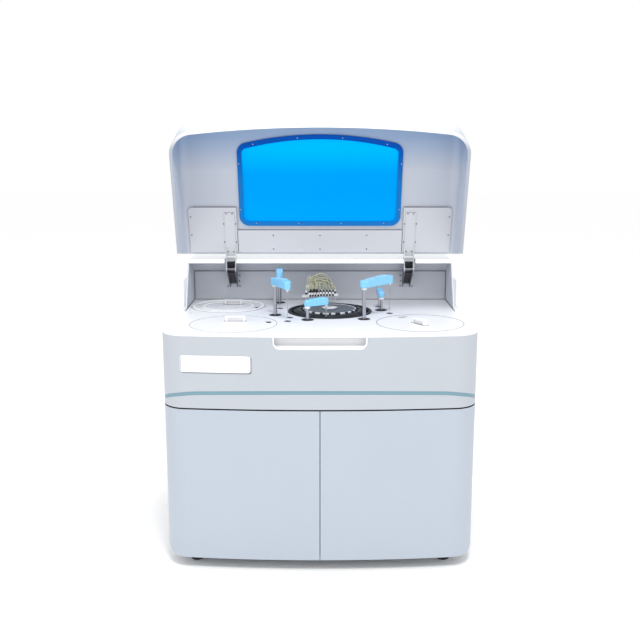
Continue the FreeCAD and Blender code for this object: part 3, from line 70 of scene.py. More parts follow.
class Look:  # one material: a Principled shader and the nodes that feed it
    def __init__(self, name, fixed):
        self.material = bpy.data.materials.new(name)
        self.material.use_nodes = True
        self.tree = self.material.node_tree
        self.tree.nodes.clear()
        self.shader = self.tree.nodes.new("ShaderNodeBsdfPrincipled")
        end = self.tree.nodes.new("ShaderNodeOutputMaterial")
        self.tree.links.new(self.shader.outputs[0], end.inputs["Surface"])
        self.set(fixed)
        self.place = self.node("ShaderNodeTexCoord", out="Object")

    def set(self, values):
        for socket, value in values.items():
            self.feed(self.shader.inputs[socket], value)

    def feed(self, socket, value):
        if isinstance(value, Number):
            self.tree.links.new(value.socket, socket)
        elif hasattr(value, "__len__") and len(socket.default_value) == 4 and len(value) == 3:
            socket.default_value = (*value, 1.0)
        else:
            socket.default_value = value

    def node(self, kind, settings={}, inputs={}, out=0):
        made = self.tree.nodes.new(kind)
        for key, value in settings.items():
            setattr(made, key, value)
        for key, value in inputs.items():
            self.feed(made.inputs[key], value)
        return Number(self, made.outputs[out])

    def noise(self, scale, detail=2.0, stretch=(1, 1, 1)):
        where = self.node("ShaderNodeMapping", {}, {"Vector": self.place, "Scale": stretch})
        return self.node("ShaderNodeTexNoise", {}, {"Vector": where, "Scale": scale, "Detail": detail})

    def between(self, value, low, high):  # 0 at low, 1 at high, and held there
        return self.node("ShaderNodeMapRange", {}, {0: value, 1: low, 2: high})

    def mixed(self, mask, first, second):
        return self.node("ShaderNodeMix", {"data_type": "RGBA"}, {0: mask, 6: first, 7: second}, out=2)

    def axis(self, name):
        return self.node("ShaderNodeSeparateXYZ", {}, {"Vector": self.place}, out=name)

    def bump(self, height, depth):
        return self.node("ShaderNodeBump", {}, {"Height": height, "Strength": 1.0, "Distance": depth})


def shade(colour, share):
    return [value * share for value in colour]


# Moulded or painted skin: orange peel, fine grain, and faint wiped smudges
moulding = {
    "cloud": (3.5, 3.0), "dull": 0.965, "pale": 1.02,
    "wipe": (9.0, 6.0, (1, 1, 0.45)), "wipeFrom": 0.42, "wipeTo": 0.78,
    "peelDetail": 1.0, "grainDetail": 2.0,
}
orangePeel = {"scale": 210.0, "depth": 0.00007}
finePeel = {"scale": 420.0, "depth": 0.00004}
fineGrain = {"scale": 1900.0, "share": 0.25}
coarseGrain = {"scale": 1300.0, "share": 0.8}


def mouldedLook(name, colour, roughness, peel, grain, smudge, fixed={}):
    look = Look(name, fixed)
    cloud = look.noise(*moulding["cloud"])
    dull, pale = shade(colour, moulding["dull"]), shade(colour, moulding["pale"])
    look.set({"Base Color": look.mixed(cloud, dull, pale)})
    wiped = look.between(look.noise(*moulding["wipe"]), moulding["wipeFrom"], moulding["wipeTo"])
    look.set({"Roughness": roughness + wiped * smudge})
    dimples = look.noise(peel["scale"], moulding["peelDetail"])
    height = dimples + look.noise(grain["scale"], moulding["grainDetail"]) * grain["share"]
    look.set({"Normal": look.bump(height, peel["depth"])})
    return look


# Brushed and turned steel: roughness, stretch of the streaks, their scale and their depth
brushing = {
    "detail": 3.0, "stain": (14.0, 3.0), "dull": 0.9, "streakShare": 0.16,
    "dark": (0.3, (1, 1, 0.05), 500.0, 0.00005),
    "disk": (0.42, (1, 1, 0.2), 260.0, 0.00004),
    "bright": (0.22, (1, 1, 0.03), 700.0, 0.00003),
}


def brushedLook(name, colour, roughness, stretch, streaks, depth):
    look = Look(name, {"Metallic": 1.0})
    lines = look.noise(streaks, brushing["detail"], stretch)
    stain = look.noise(*brushing["stain"])
    look.set({"Base Color": look.mixed(stain, shade(colour, brushing["dull"]), colour)})
    look.set({"Roughness": roughness + lines * brushing["streakShare"]})
    look.set({"Normal": look.bump(lines, depth)})
    return look


# Colours of the finishes, in linear light
colours = {
    "shellWhite": (0.46, 0.492, 0.535),
    "lidInside": (0.57, 0.60, 0.665),
    # painted shade high inside the open lid
    "lidInsideShadedTop": (0.32, 0.43, 0.60),
    # the next three: painted shade down the lid's rim, a painted highlight along the top of its skin, a
    # painted highlight at the top of its rim
    "rimSideShaded": (0.37, 0.395, 0.44),
    "skinTopHighlight": (0.72, 0.74, 0.77),
    "rimTopHighlight": (0.95, 0.95, 0.95),
    "housing": (0.61, 0.635, 0.69),
    # painted highlight on the housing lip, the grip bead and the rear cover's rings
    "brightEdge": (0.86, 0.87, 0.88),
    # painted light in the grip pocket, brighter than the fascia round it
    "gripWhite": (0.78, 0.79, 0.81),
    "jointShadow": (0.16, 0.17, 0.20),
    "doorPaint": (0.435, 0.487, 0.553),
    "sidePaint": (0.50, 0.535, 0.58),
    "deckWhite": (0.86, 0.86, 0.875),
    # painted shadow at the rear of the deck, under the housing
    "deckPaintedShadow": (0.62, 0.625, 0.655),
    "stripeTeal": (0.17, 0.295, 0.36),
    "plateWhite": (0.82, 0.83, 0.85),
    "frameCoat": (0.26, 0.28, 0.31),
    "lidSheet": (0.62, 0.63, 0.665),
    "armBlue": (0.21, 0.56, 0.88),
    "paneTop": (0.0, 0.46, 1.0),
    # painted shade towards the pane's lower edge
    "paneShadedFoot": (0.0, 0.315, 0.80),
    "frameBlue": (0.012, 0.19, 0.55),
    # painted shade at the top of the window frame
    "frameBlueShaded": (0.0, 0.09, 0.46),
    "blackPlastic": (0.013, 0.013, 0.016),
    "greyPlastic": (0.15, 0.17, 0.19),
    "clearTube": (0.66, 0.66, 0.48),
    "bottle": (0.80, 0.81, 0.78),
    "tank": (0.74, 0.78, 0.78),
    "rubber": (0.018, 0.018, 0.02),
    "darkSteel": (0.20, 0.21, 0.24),
    "diskSteel": (0.33, 0.35, 0.38),
    "brightSteel": (0.42, 0.43, 0.47),
    "castDark": (0.42, 0.44, 0.46),
    "castPale": (0.56, 0.58, 0.60),
}

# Window pane: tinted acrylic, with painted shade towards its lower edge as the lid stands open, and a painted
# glow that stands for light shining through it
pane = {"roughness": 0.3, "paintedGlow": 0.22, "fade": (1.50, 1.61), "wave": (5.0, 1.0), "waveDepth": 0.0004}


def paneLook():
    look = Look("windowPane", {"Roughness": pane["roughness"], "Specular IOR Level": 0.0,
                               "Emission Strength": pane["paintedGlow"]})
    tint = look.mixed(look.between(look.axis("Z"), *pane["fade"]), colours["paneShadedFoot"], colours["paneTop"])
    look.set({"Base Color": tint, "Emission Color": tint})
    look.set({"Normal": look.bump(look.noise(*pane["wave"]), pane["waveDepth"])})
    return look


# Window frame: glossy blue moulding with painted shade that darkens it upwards
windowFrame = {"roughness": 0.3, "smudge": 0.12, "specular": 0.05, "fade": (1.46, 1.62)}


def windowFrameLook():
    look = mouldedLook("windowFrame", colours["frameBlue"], windowFrame["roughness"], finePeel, fineGrain,
                       windowFrame["smudge"], {"Specular IOR Level": windowFrame["specular"]})
    fade = look.between(look.axis("Z"), *windowFrame["fade"])
    look.set({"Base Color": look.mixed(fade, colours["frameBlue"], colours["frameBlueShaded"])})
    return look


# Deck: white paint, with a painted shadow that greys it towards the rear under the housing
deckPaint = {"roughness": 0.3, "smudge": 0.12, "cloud": (6.0, 3.0), "cloudShare": 0.04, "fade": (0.10, 0.28)}


def deckLook():
    look = mouldedLook("deckWhite", colours["deckWhite"], deckPaint["roughness"], finePeel, fineGrain,
                       deckPaint["smudge"])
    depth = look.axis("Y") + look.noise(*deckPaint["cloud"]) * deckPaint["cloudShare"]
    fade = look.between(depth, *deckPaint["fade"])
    look.set({"Base Color": look.mixed(fade, colours["deckWhite"], colours["deckPaintedShadow"])})
    return look


# Lid skins get painted light and shade by height as the lid stands open: painted shade high inside the lid,
# painted highlights towards the top of its skin and rim; both heights of each fade, and roughness
lidPaint = {"smudge": 0.12, "cloud": 2.0, "cloudShare": 0.03,
            "inside": (1.53, 1.67, 0.5), "skin": (1.68, 1.73, 0.34), "rim": (1.62, 1.71, 0.4)}


def shadedByHeightLook(name, low, high, start, end, roughness):
    look = mouldedLook(name, colours[low], roughness, orangePeel, fineGrain, lidPaint["smudge"])
    level = look.axis("Z") + look.noise(lidPaint["cloud"]) * lidPaint["cloudShare"]
    look.set({"Base Color": look.mixed(look.between(level, start, end), colours[low], colours[high])})
    return look


# Arm covers: milky translucent blue with a thin gloss
armPlastic = {
    "roughness": 0.24, "smudge": 0.1,
    "fixed": {"Subsurface Weight": 0.3, "Subsurface Radius": (0.006, 0.012, 0.02),
              "Subsurface Scale": 1.0, "Coat Weight": 0.35, "Coat Roughness": 0.12},
}


def armLook():
    return mouldedLook("armCover", colours["armBlue"], armPlastic["roughness"], finePeel, fineGrain,
                       armPlastic["smudge"], armPlastic["fixed"])


# Soft tubing: milky walls, a little uneven along the run
tubing = {"index": 1.42, "clear": 0.25, "cloud": (60.0, 2.0), "dull": 0.9, "roughness": 0.12,
          "cloudShare": 0.12, "ripple": (420.0, 1.0), "rippleDepth": 0.00005}


def tubeLook(name, colour):
    look = Look(name, {"Transmission Weight": tubing["clear"], "IOR": tubing["index"], "Alpha": 1.0})
    cloud = look.noise(*tubing["cloud"])
    look.set({"Base Color": look.mixed(cloud, shade(colour, tubing["dull"]), colour)})
    look.set({"Roughness": tubing["roughness"] + cloud * tubing["cloudShare"]})
    look.set({"Normal": look.bump(look.noise(*tubing["ripple"]), tubing["rippleDepth"])})
    return look


# Pump casting: coarse alloy with a sandy skin
casting = {"metallic": 0.9, "skin": (650.0, 4.0), "stain": (18.0, 3.0), "roughness": 0.42, "skinShare": 0.2,
           "depth": 0.0002}


def castLook():
    look = Look("castAlloy", {"Metallic": casting["metallic"]})
    skin = look.noise(*casting["skin"])
    stain = look.noise(*casting["stain"])
    look.set({"Base Color": look.mixed(stain, colours["castDark"], colours["castPale"])})
    look.set({"Roughness": casting["roughness"] + skin * casting["skinShare"]})
    look.set({"Normal": look.bump(skin, casting["depth"])})
    return look


softBottle = {"Subsurface Weight": 0.2, "Subsurface Radius": (0.004, 0.004, 0.004)}
softTank = {"Subsurface Weight": 0.25, "Subsurface Radius": (0.01, 0.01, 0.01)}
glossyPlate = {"Coat Weight": 0.4}

# name, colour, roughness, peel, grain, smudges and any fixed values of each plain moulded finish
mouldedFinishes = {
    "shell_white": ("shellWhite", "shellWhite", 0.34, orangePeel, fineGrain, 0.14),
    "housing_white": ("housingWhite", "housing", 0.42, orangePeel, fineGrain, 0.12),
    "bright_edge": ("brightEdge", "brightEdge", 0.32, orangePeel, fineGrain, 0.12),
    "grip_white": ("gripWhite", "gripWhite", 0.36, orangePeel, fineGrain, 0.12),
    "joint_shadow": ("jointShadow", "jointShadow", 0.6, finePeel, coarseGrain, 0.1),
    "door_paint": ("doorPaint", "doorPaint", 0.4, orangePeel, fineGrain, 0.12),
    "panel_grey": ("sidePaint", "sidePaint", 0.42, orangePeel, fineGrain, 0.12),
    "stripe_teal": ("stripeTeal", "stripeTeal", 0.35, finePeel, fineGrain, 0.1),
    "plate_white": ("blankPlate", "plateWhite", 0.2, finePeel, fineGrain, 0.1, glossyPlate),
    "frame_steel": ("frameCoat", "frameCoat", 0.5, orangePeel, coarseGrain, 0.12),
    "lid_sheet": ("lidSheet", "lidSheet", 0.4, finePeel, coarseGrain, 0.1),
    "black_plastic": ("blackPlastic", "blackPlastic", 0.45, finePeel, coarseGrain, 0.15),
    "grey_plastic": ("greyPlastic", "greyPlastic", 0.42, finePeel, coarseGrain, 0.12),
    "bottle_plastic": ("bottlePlastic", "bottle", 0.35, finePeel, fineGrain, 0.1, softBottle),
    "tank_plastic": ("tankPlastic", "tank", 0.4, orangePeel, fineGrain, 0.1, softTank),
    "foot_rubber": ("footRubber", "rubber", 0.75, finePeel, coarseGrain, 0.15),
}
looks = {
    "lid_inside": shadedByHeightLook("lidInside", "lidInside", "lidInsideShadedTop", *lidPaint["inside"]),
    "lid_skin": shadedByHeightLook("lidSkin", "shellWhite", "skinTopHighlight", *lidPaint["skin"]),
    "lid_rim": shadedByHeightLook("lidRim", "rimSideShaded", "rimTopHighlight", *lidPaint["rim"]),
    "deck_white": deckLook(),
    "dark_steel": brushedLook("darkSteel", colours["darkSteel"], *brushing["dark"]),
    "disk_steel": brushedLook("diskSteel", colours["diskSteel"], *brushing["disk"]),
    "bright_steel": brushedLook("brightSteel", colours["brightSteel"], *brushing["bright"]),
    "pump_metal": castLook(),
    "arm_blue": armLook(),
    "window_blue": paneLook(),
    "frame_blue": windowFrameLook(),
    "clear_tube": tubeLook("clearTube", colours["clearTube"]),
}
for finish, (name, colour, *values) in mouldedFinishes.items():
    looks[finish] = mouldedLook(name, colours[colour], *values)
print("finishes made,", len(looks))


def wear(piece, look, others=()):
    # the finish on a piece, and other ones on the faces that a test picks by centre and normal
    piece.data.materials.clear()
    for finish in (look, *[other for other, test in others]):
        piece.data.materials.append(looks[finish].material)
    for face in piece.data.polygons:
        face.material_index = 0
        for number, (other, test) in enumerate(others, 1):
            if test(face.center, face.normal):
                face.material_index = number


slotOf = {part["node"]: part["material_slot"] for part in frame["record"]["subparts"]}
for name, piece in nodes.items():
    wear(piece, slotOf[name])

# Helpers that make and place pieces
making = {
    "easeSteps": 3, "hoopSteps": 2, "sharp": math.radians(35), "upright": 0.98, "merge": 0.00002,
    "smooth": 35.0, "softSmooth": 60.0, "tubeRound": 2, "tubeSteps": 14,
    "screwSides": 18, "screwEdge": 0.22, "socketInset": 0.42, "socketDepth": 0.6,
}


def nothingSelected():
    bpy.ops.object.select_all(action="DESELECT")


def only(piece):
    nothingSelected()
    piece.select_set(True)
    bpy.context.view_layer.objects.active = piece


def settled(piece):  # its place goes into its mesh
    only(piece)
    bpy.ops.object.transform_apply(location=True, rotation=True, scale=True)
    return piece


def applied(piece, kind, **values):
    only(piece)
    modifier = piece.modifiers.new(kind, kind)
    for key, value in values.items():
        setattr(modifier, key, value)
    bpy.ops.object.modifier_apply(modifier=modifier.name)
    return piece


def eased(piece, edge, steps):  # rounds the sharp edges only
    if edge:
        applied(piece, "BEVEL", width=edge, segments=steps, limit_method="ANGLE", angle_limit=making["sharp"])
    return piece


def block(size, place, edge=0.0):  # a bar of this size round this middle, its edges eased
    nothingSelected()
    bpy.ops.mesh.primitive_cube_add(size=1.0, location=place, scale=size)
    piece = settled(bpy.context.object)
    if edge:
        applied(piece, "BEVEL", width=edge, segments=making["easeSteps"])
    return piece


def drum(radius, height, place, sides, edge=0.0, top=None):  # stands on this place
    nothingSelected()
    middle = (place[0], place[1], place[2] + height / 2)
    narrow = radius if top is None else top
    bpy.ops.mesh.primitive_cone_add(vertices=sides, radius1=radius, radius2=narrow, depth=height,
                                    location=middle)
    return eased(settled(bpy.context.object), edge, making["easeSteps"])


def hoop(radius, wall, height, place, sides, edge=0.0):  # a ring, its wall inwards from this radius
    nothingSelected()
    middle = (place[0], place[1], place[2] + height / 2)
    bpy.ops.mesh.primitive_cylinder_add(vertices=sides, radius=radius, depth=height, end_fill_type="NOTHING",
                                        location=middle)
    piece = settled(bpy.context.object)
    applied(piece, "SOLIDIFY", thickness=wall, offset=-1.0)
    return eased(piece, edge, making["hoopSteps"])


def tube(points, radius):  # a bent tube through these points, each with its two handles
    nothingSelected()
    bpy.ops.curve.primitive_bezier_curve_add(location=(0, 0, 0))
    piece = bpy.context.object
    line = piece.data.splines[0]
    line.bezier_points.add(len(points) - 2)
    for spot, (place, before, after) in zip(line.bezier_points, points):
        spot.handle_left_type = "FREE"
        spot.handle_right_type = "FREE"
        spot.co = place
        spot.handle_left = Vector(place) + Vector(before)
        spot.handle_right = Vector(place) + Vector(after)
    piece.data.bevel_depth = radius
    piece.data.bevel_resolution = making["tubeRound"]
    piece.data.resolution_u = making["tubeSteps"]
    piece.data.use_fill_caps = True
    only(piece)
    bpy.ops.object.convert(target="MESH")
    return bpy.context.object


def pressed(piece, inset, depth):  # sinks the faces that look up
    only(piece)
    for face in piece.data.polygons:
        face.select = face.normal.z > making["upright"]
    bpy.ops.object.mode_set(mode="EDIT")
    bpy.ops.mesh.select_mode(type="FACE")
    bpy.ops.mesh.inset(thickness=inset, depth=0.0)
    bpy.ops.mesh.inset(thickness=0.0, depth=-depth)
    bpy.ops.object.mode_set(mode="OBJECT")
    return piece


def joined(pieces):
    nothingSelected()
    for piece in pieces:
        piece.select_set(True)
    bpy.context.view_layer.objects.active = pieces[0]
    if len(pieces) > 1:
        bpy.ops.object.join()
    return bpy.context.view_layer.objects.active


def twin(piece):  # a copy with its own mesh
    made = piece.copy()
    made.data = piece.data.copy()
    bpy.context.scene.collection.objects.link(made)
    return made


def copies(piece, moves):  # one copy for each move, all joined
    made = []
    for move in moves:
        made.append(twin(piece))
        made[-1].data.transform(move)
    bpy.data.objects.remove(piece)
    return joined(made)


def bothSides(piece):  # the piece and its mirror image, as one
    mirror = twin(piece)
    mirror.data.transform(Matrix.Scale(-1.0, 4, (1, 0, 0)))
    mirror.data.flip_normals()
    return joined([piece, mirror])


def finished(piece, name, look, body, smooth=making["smooth"]):
    piece.name = name
    only(piece)
    bpy.ops.object.shade_smooth_by_angle(angle=math.radians(smooth))
    wear(piece, look)
    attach(piece, body)
    return piece


def moved(x, y, z):
    return Matrix.Translation((x, y, z))


def turned(angle, axis):
    return Matrix.Rotation(math.radians(angle), 4, axis)


def turnedAt(angle, place, axis="Z"):
    there = Matrix.Translation(place)
    return there @ turned(angle, axis) @ there.inverted()


def spokes(count):  # equal turns round the origin
    return [Matrix.Rotation(math.tau * number / count, 4, "Z") for number in range(count)]


def twinOf(name):  # a merged copy of a modelled node, to be worked on
    piece = twin(nodes[name])
    piece.parent = None
    piece.matrix_world = nodes[name].matrix_world
    settled(piece)
    bpy.ops.object.mode_set(mode="EDIT")
    bpy.ops.mesh.select_all(action="SELECT")
    bpy.ops.mesh.remove_doubles(threshold=making["merge"])
    bpy.ops.object.mode_set(mode="OBJECT")
    return piece


def screw(radius, height):  # a socket head that stands on the origin
    head = drum(radius, height, (0, 0, 0), making["screwSides"], radius * making["screwEdge"])
    return pressed(head, radius * making["socketInset"], height * making["socketDepth"])


def middleOf(name):  # where the middle of a node's box lies, across and in depth
    low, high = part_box(name)
    return (low[0] + high[0]) / 2, (low[1] + high[1]) / 2


# Lid fittings, placed on the closed lid and then swung open
lidFit = {
    "pivot": (0.0, 0.259, 1.085), "open": -73.3, "plate": 1.121, "frame": 1.125, "pad": 1.118,
    "screw": 0.0031, "height": 0.0016, "smallScrew": 0.0027,
    "plateScrews": ((0.0, 0.1125), (0.0, 0.1774), (0.2045, 0.1125), (0.2045, 0.1774), (0.3666, 0.0592),
                    (0.3666, 0.144), (0.4184, 0.0592), (0.4184, 0.144), (0.560, 0.0264), (0.560, 0.1115)),
    "padScrews": ((0.3795, 0.0117), (0.4045, 0.0117), (0.3795, 0.1885), (0.4045, 0.1885)),
    "frameScrews": ((0.280, -0.2932), (0.094, -0.3195), (0.3427, -0.2092), (0.3418, -0.0053),
                    (0.2762, 0.0578), (0.092, 0.0578)),
}
lidSwing = turnedAt(lidFit["open"], lidFit["pivot"], "X")


def lidScrews(radius, places, level):  # heads that face down on the closed lid, on both sides of its middle
    moves = []
    for x, y in places:
        for side in ((1, -1) if x else (1,)):
            moves.append(lidSwing @ moved(side * x, y, level) @ turned(180, "X"))
    return copies(screw(radius, lidFit["height"]), moves)


plateScrews = lidScrews(lidFit["screw"], lidFit["plateScrews"], lidFit["plate"])
finished(plateScrews, "lidPlateScrews", "dark_steel", "lid")
padScrews = lidScrews(lidFit["screw"], lidFit["padScrews"], lidFit["pad"])
finished(padScrews, "lidPadScrews", "dark_steel", "lid")
frameScrews = lidScrews(lidFit["smallScrew"], lidFit["frameScrews"], lidFit["frame"])
finished(frameScrews, "windowFrameScrews", "bright_steel", "lid")
print("lid screws placed")

# Reaction carousel: a black ring round a raised plate with a white edge and dark clamps
carouselFit = {
    "centre": (0.041, 0.08, 0.935), "sides": 96,
    "rim": 0.112, "rimWall": 0.0048, "rimHeight": 0.008, "rimEdge": 0.0006,
    "plate": 0.109, "plateHeight": 0.0074, "plateEdge": 0.0008, "platePress": (0.006, 0.0006),
    "cover": 0.1376, "coverWall": 0.0252, "coverHeight": 0.0016, "coverEdge": 0.0004,
    "knob": 0.025, "knobTop": 0.019, "knobHeight": 0.0062, "knobSides": 40, "knobEdge": 0.0012,
    "knobSink": 0.0006, "knobPress": (0.008, 0.0012),
    "clamps": 20, "clamp": (0.0085, 0.012, 0.0096), "wideClamp": (0.018, 0.012, 0.0096), "wideAt": 16.0,
    "clampEdge": 0.0012, "reach": 0.1165,
    "cells": 72, "cell": (0.0016, 0.017, 0.0009), "cellEdge": 0.0002, "cellReach": 0.125, "firstCell": 2.5,
}
carousel = carouselFit["centre"]
cx, cy, cz = carousel


def carouselHoop(part):
    return hoop(carouselFit[part], carouselFit[part + "Wall"], carouselFit[part + "Height"], carousel,
                carouselFit["sides"], carouselFit[part + "Edge"])


def roundCarousel(count, reach, first=0.0):  # places in equal steps, from the front
    out = moved(cx, cy - reach, cz)
    return [turnedAt(first + 360.0 / count * number, carousel) @ out for number in range(count)]


def standing(size, edge):
    return block(size, (0, 0, size[2] / 2), edge)


finished(carouselHoop("rim"), "carouselRim", "plate_white", "reaction_carousel")
plate = drum(carouselFit["plate"], carouselFit["plateHeight"], carousel, carouselFit["sides"],
             carouselFit["plateEdge"])
pressed(plate, *carouselFit["platePress"])
finished(plate, "carouselPlate", "disk_steel", "reaction_carousel")
finished(carouselHoop("cover"), "carouselCover", "black_plastic", "reaction_carousel")
knobFoot = (cx, cy, cz + carouselFit["plateHeight"] - carouselFit["knobSink"])
knob = drum(carouselFit["knob"], carouselFit["knobHeight"], knobFoot, carouselFit["knobSides"],
            carouselFit["knobEdge"], carouselFit["knobTop"])
pressed(knob, *carouselFit["knobPress"])
finished(knob, "carouselKnob", "plate_white", "reaction_carousel")
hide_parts("disk_hub")
clamp = standing(carouselFit["clamp"], carouselFit["clampEdge"])
clamps = copies(clamp, roundCarousel(carouselFit["clamps"], carouselFit["reach"]))
wideClamp = standing(carouselFit["wideClamp"], carouselFit["clampEdge"])
wideClamp = copies(wideClamp, roundCarousel(1, carouselFit["reach"], carouselFit["wideAt"]))
finished(joined([clamps, wideClamp]), "carouselClamps", "black_plastic", "reaction_carousel")
onCover = moved(0, 0, carouselFit["coverHeight"])
cellPlaces = roundCarousel(carouselFit["cells"], carouselFit["cellReach"], carouselFit["firstCell"])
cell = standing(carouselFit["cell"], carouselFit["cellEdge"])
cells = copies(cell, [onCover @ place for place in cellPlaces])
finished(cells, "carouselMarks", "grey_plastic", "reaction_carousel")
print("carousel dressed")

# Wash station: nozzle nuts along the bar, their caps, and a clamp for the tubes
washFit = {
    "first": 81.4, "last": 127.2, "bar": 0.98, "outer": 0.167, "inner": 0.1535, "count": 10, "edge": 0.0006,
    "nut": 0.0052, "nutHeight": 0.0085, "nutSides": 6,
    "sleeve": 0.0038, "sleeveHeight": 0.009, "sleeveSides": 16,
    "cap": (0.0085, 0.005, 0.0085), "capReach": 0.1475, "capLift": -0.0045, "capEdge": 0.0008,
    "clamp": (0.036, 0.012, 0.016), "clampPlace": (-0.027, 0.2195, 0.9965), "clampEdge": 0.004,
}
washSpan = washFit["last"] - washFit["first"]
washGaps = washFit["count"] - 1


def alongBar(reach, shift):
    moves = []
    for number in range(washFit["count"]):
        turn = math.radians(washFit["first"] + washSpan / washGaps * (number + shift))
        moves.append(moved(cx + reach * math.cos(turn), cy + reach * math.sin(turn), washFit["bar"]))
    return moves


def nuts(places):
    nut = drum(washFit["nut"], washFit["nutHeight"], (0, 0, 0), washFit["nutSides"], washFit["edge"])
    return copies(nut, places)


def sleeves(places):  # each stands on a nut
    sleeve = drum(washFit["sleeve"], washFit["sleeveHeight"], (0, 0, washFit["nutHeight"]),
                  washFit["sleeveSides"], washFit["edge"])
    return copies(sleeve, places)


outerPlaces = alongBar(washFit["outer"], 0.0)
innerPlaces = alongBar(washFit["inner"], 0.5)[:-1]
darkNuts = joined([nuts(outerPlaces), sleeves(innerPlaces)])
finished(darkNuts, "washNuts", "black_plastic", "wash_station")
paleNuts = joined([nuts(innerPlaces), sleeves(outerPlaces)])
finished(paleNuts, "washSleeves", "plate_white", "wash_station")
capOut = moved(cx, cy - washFit["capReach"], washFit["bar"] + washFit["capLift"])
capMoves = [turnedAt(washFit["first"] + 90 + washSpan * (number + 0.5) / washGaps, (cx, cy, 0)) @ capOut
            for number in range(washGaps)]
caps = copies(block(washFit["cap"], (0, 0, 0), washFit["capEdge"]), capMoves)
finished(caps, "washCaps", "black_plastic", "wash_station")
tubeClamp = block(washFit["clamp"], washFit["clampPlace"], washFit["clampEdge"])
finished(tubeClamp, "washTubeClamp", "black_plastic", "wash_station")

# Wash tubes: strands that arch from the clamp to the nozzles, and feeds that come up the column
strandFit = {
    "radius": 0.0019, "width": 0.032, "columns": 9, "rows": 3, "rowStep": 0.004, "root": 0.007,
    "rise": (0.046, 0.075), "secondDrop": 0.016, "secondOuter": 7, "secondInner": 4, "bite": 0.001,
    "crest": 0.45, "crestShift": (-0.006, 0.004), "lean": (0.28, 0.2), "leanShift": 0.004,
    "startShift": -0.004, "startPull": 0.55, "endPull": 0.5, "tail": (0, 0, -0.01),
}
feedFit = {
    "count": 14, "width": 0.034, "spread": (-0.005, 0.005), "column": (-0.012, 0.298, 0.999),
    "columnSpread": (-0.006, 0.006), "crest": (0.25, 0.4), "rise": (0.038, 0.06), "lean": 0.25,
    "climb": (0, 0, 0.03),
}
random.seed(7)
bx, by, bz = washFit["clampPlace"]
tail = strandFit["tail"]
tubes = []
firstEnds = outerPlaces + innerPlaces
secondEnds = outerPlaces[:strandFit["secondOuter"]] + innerPlaces[:strandFit["secondInner"]]
nozzleTop = Vector((0, 0, washFit["nutHeight"] + washFit["sleeveHeight"] - strandFit["bite"]))
for number, spot in enumerate(firstEnds + secondEnds):
    end = spot.translation + nozzleTop
    column, row = number % strandFit["columns"], number % strandFit["rows"]
    across = strandFit["width"] * column / (strandFit["columns"] - 1)
    start = Vector((bx - strandFit["width"] / 2 + across, by + strandFit["rowStep"] * (row - 1),
                    bz + strandFit["root"]))
    lift = random.uniform(*strandFit["rise"]) - strandFit["secondDrop"] * (number >= len(firstEnds))
    runX, runY = end.x - start.x, end.y - start.y
    crestDepth = (start.y + end.y) / 2 + random.uniform(*strandFit["crestShift"])
    top = Vector((start.x + runX * strandFit["crest"], crestDepth, bz + lift))
    lean = Vector((runX * strandFit["lean"][0] + strandFit["leanShift"], runY * strandFit["lean"][1], 0))
    tubes.append(tube([(start, tail, (strandFit["startShift"], 0, lift * strandFit["startPull"])),
                       (top, -lean, lean),
                       (end, (0, 0, lift * strandFit["endPull"]), tail)], strandFit["radius"]))
for number in range(feedFit["count"]):
    across = feedFit["width"] * random.random()
    start = Vector((bx - feedFit["width"] / 2 + across, by + random.uniform(*feedFit["spread"]),
                    bz + strandFit["root"]))
    ex, ey, ez = feedFit["column"]
    end = Vector((ex + random.uniform(*feedFit["columnSpread"]),
                  ey + random.uniform(*feedFit["columnSpread"]), ez))
    sx, sy = feedFit["crest"]
    top = Vector((start.x * (1 - sx) + end.x * sx, start.y * (1 - sy) + end.y * sy,
                  bz + random.uniform(*feedFit["rise"])))
    lean = Vector(((end.x - start.x) * feedFit["lean"], (end.y - start.y) * feedFit["lean"], 0))
    tubes.append(tube([(start, tail, feedFit["climb"]), (top, -lean, lean), (end, feedFit["climb"], tail)],
                      strandFit["radius"]))
washTubes = joined(tubes)
finished(washTubes, "washTubing", "clear_tube", "wash_station", making["softSmooth"])
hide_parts("wash_tubes")
washBar = twinOf("wash_head")
finished(washBar, "washNozzleBar", "plate_white", "wash_station")
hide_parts("wash_head")
print("wash station dressed,", len(tubes), "tubes")

# Arms: moulded covers with soft edges, pale collars, and the dark rings round their posts
armFit = {
    "reagent_arm_front": {"reach": 0.148, "angle": -67.7, "under": 1.059},
    "reagent_arm_rear": {"reach": 0.148, "angle": -87.3, "under": 1.059},
    "sample_arm": {"reach": 0.165, "angle": 47.2, "under": 1.059},
    "mixer_front": {"reach": 0.0836, "angle": 26.1, "under": 0.986},
    "mixer_rear": {"reach": 0.0836, "angle": 95.0, "under": 0.986},
}
armTrim = {
    "grid": 0.002, "soften": 16, "softenShare": 0.5, "overlap": 0.001, "deck": 0.931,
    "collar": 0.0112, "collarWall": 0.0032, "collarHeight": 0.009, "collarSides": 32, "collarEdge": 0.0008,
    "tip": 0.0056, "tipHeight": 0.0075, "tipSides": 24, "tipEdge": 0.001,
    "ring": 0.0255, "ringWall": 0.0072, "ringHeight": 0.0012, "ringSides": 48, "ringEdge": 0.0003,
}


def softened(name):  # the moulded cover again, with rounded edges
    piece = twinOf(name)
    applied(piece, "REMESH", mode="VOXEL", voxel_size=armTrim["grid"])
    applied(piece, "SMOOTH", factor=armTrim["softenShare"], iterations=armTrim["soften"])
    return piece


def under(arm, height):  # the foot of a piece this high that hangs from the arm
    return arm["under"] - height + armTrim["overlap"]


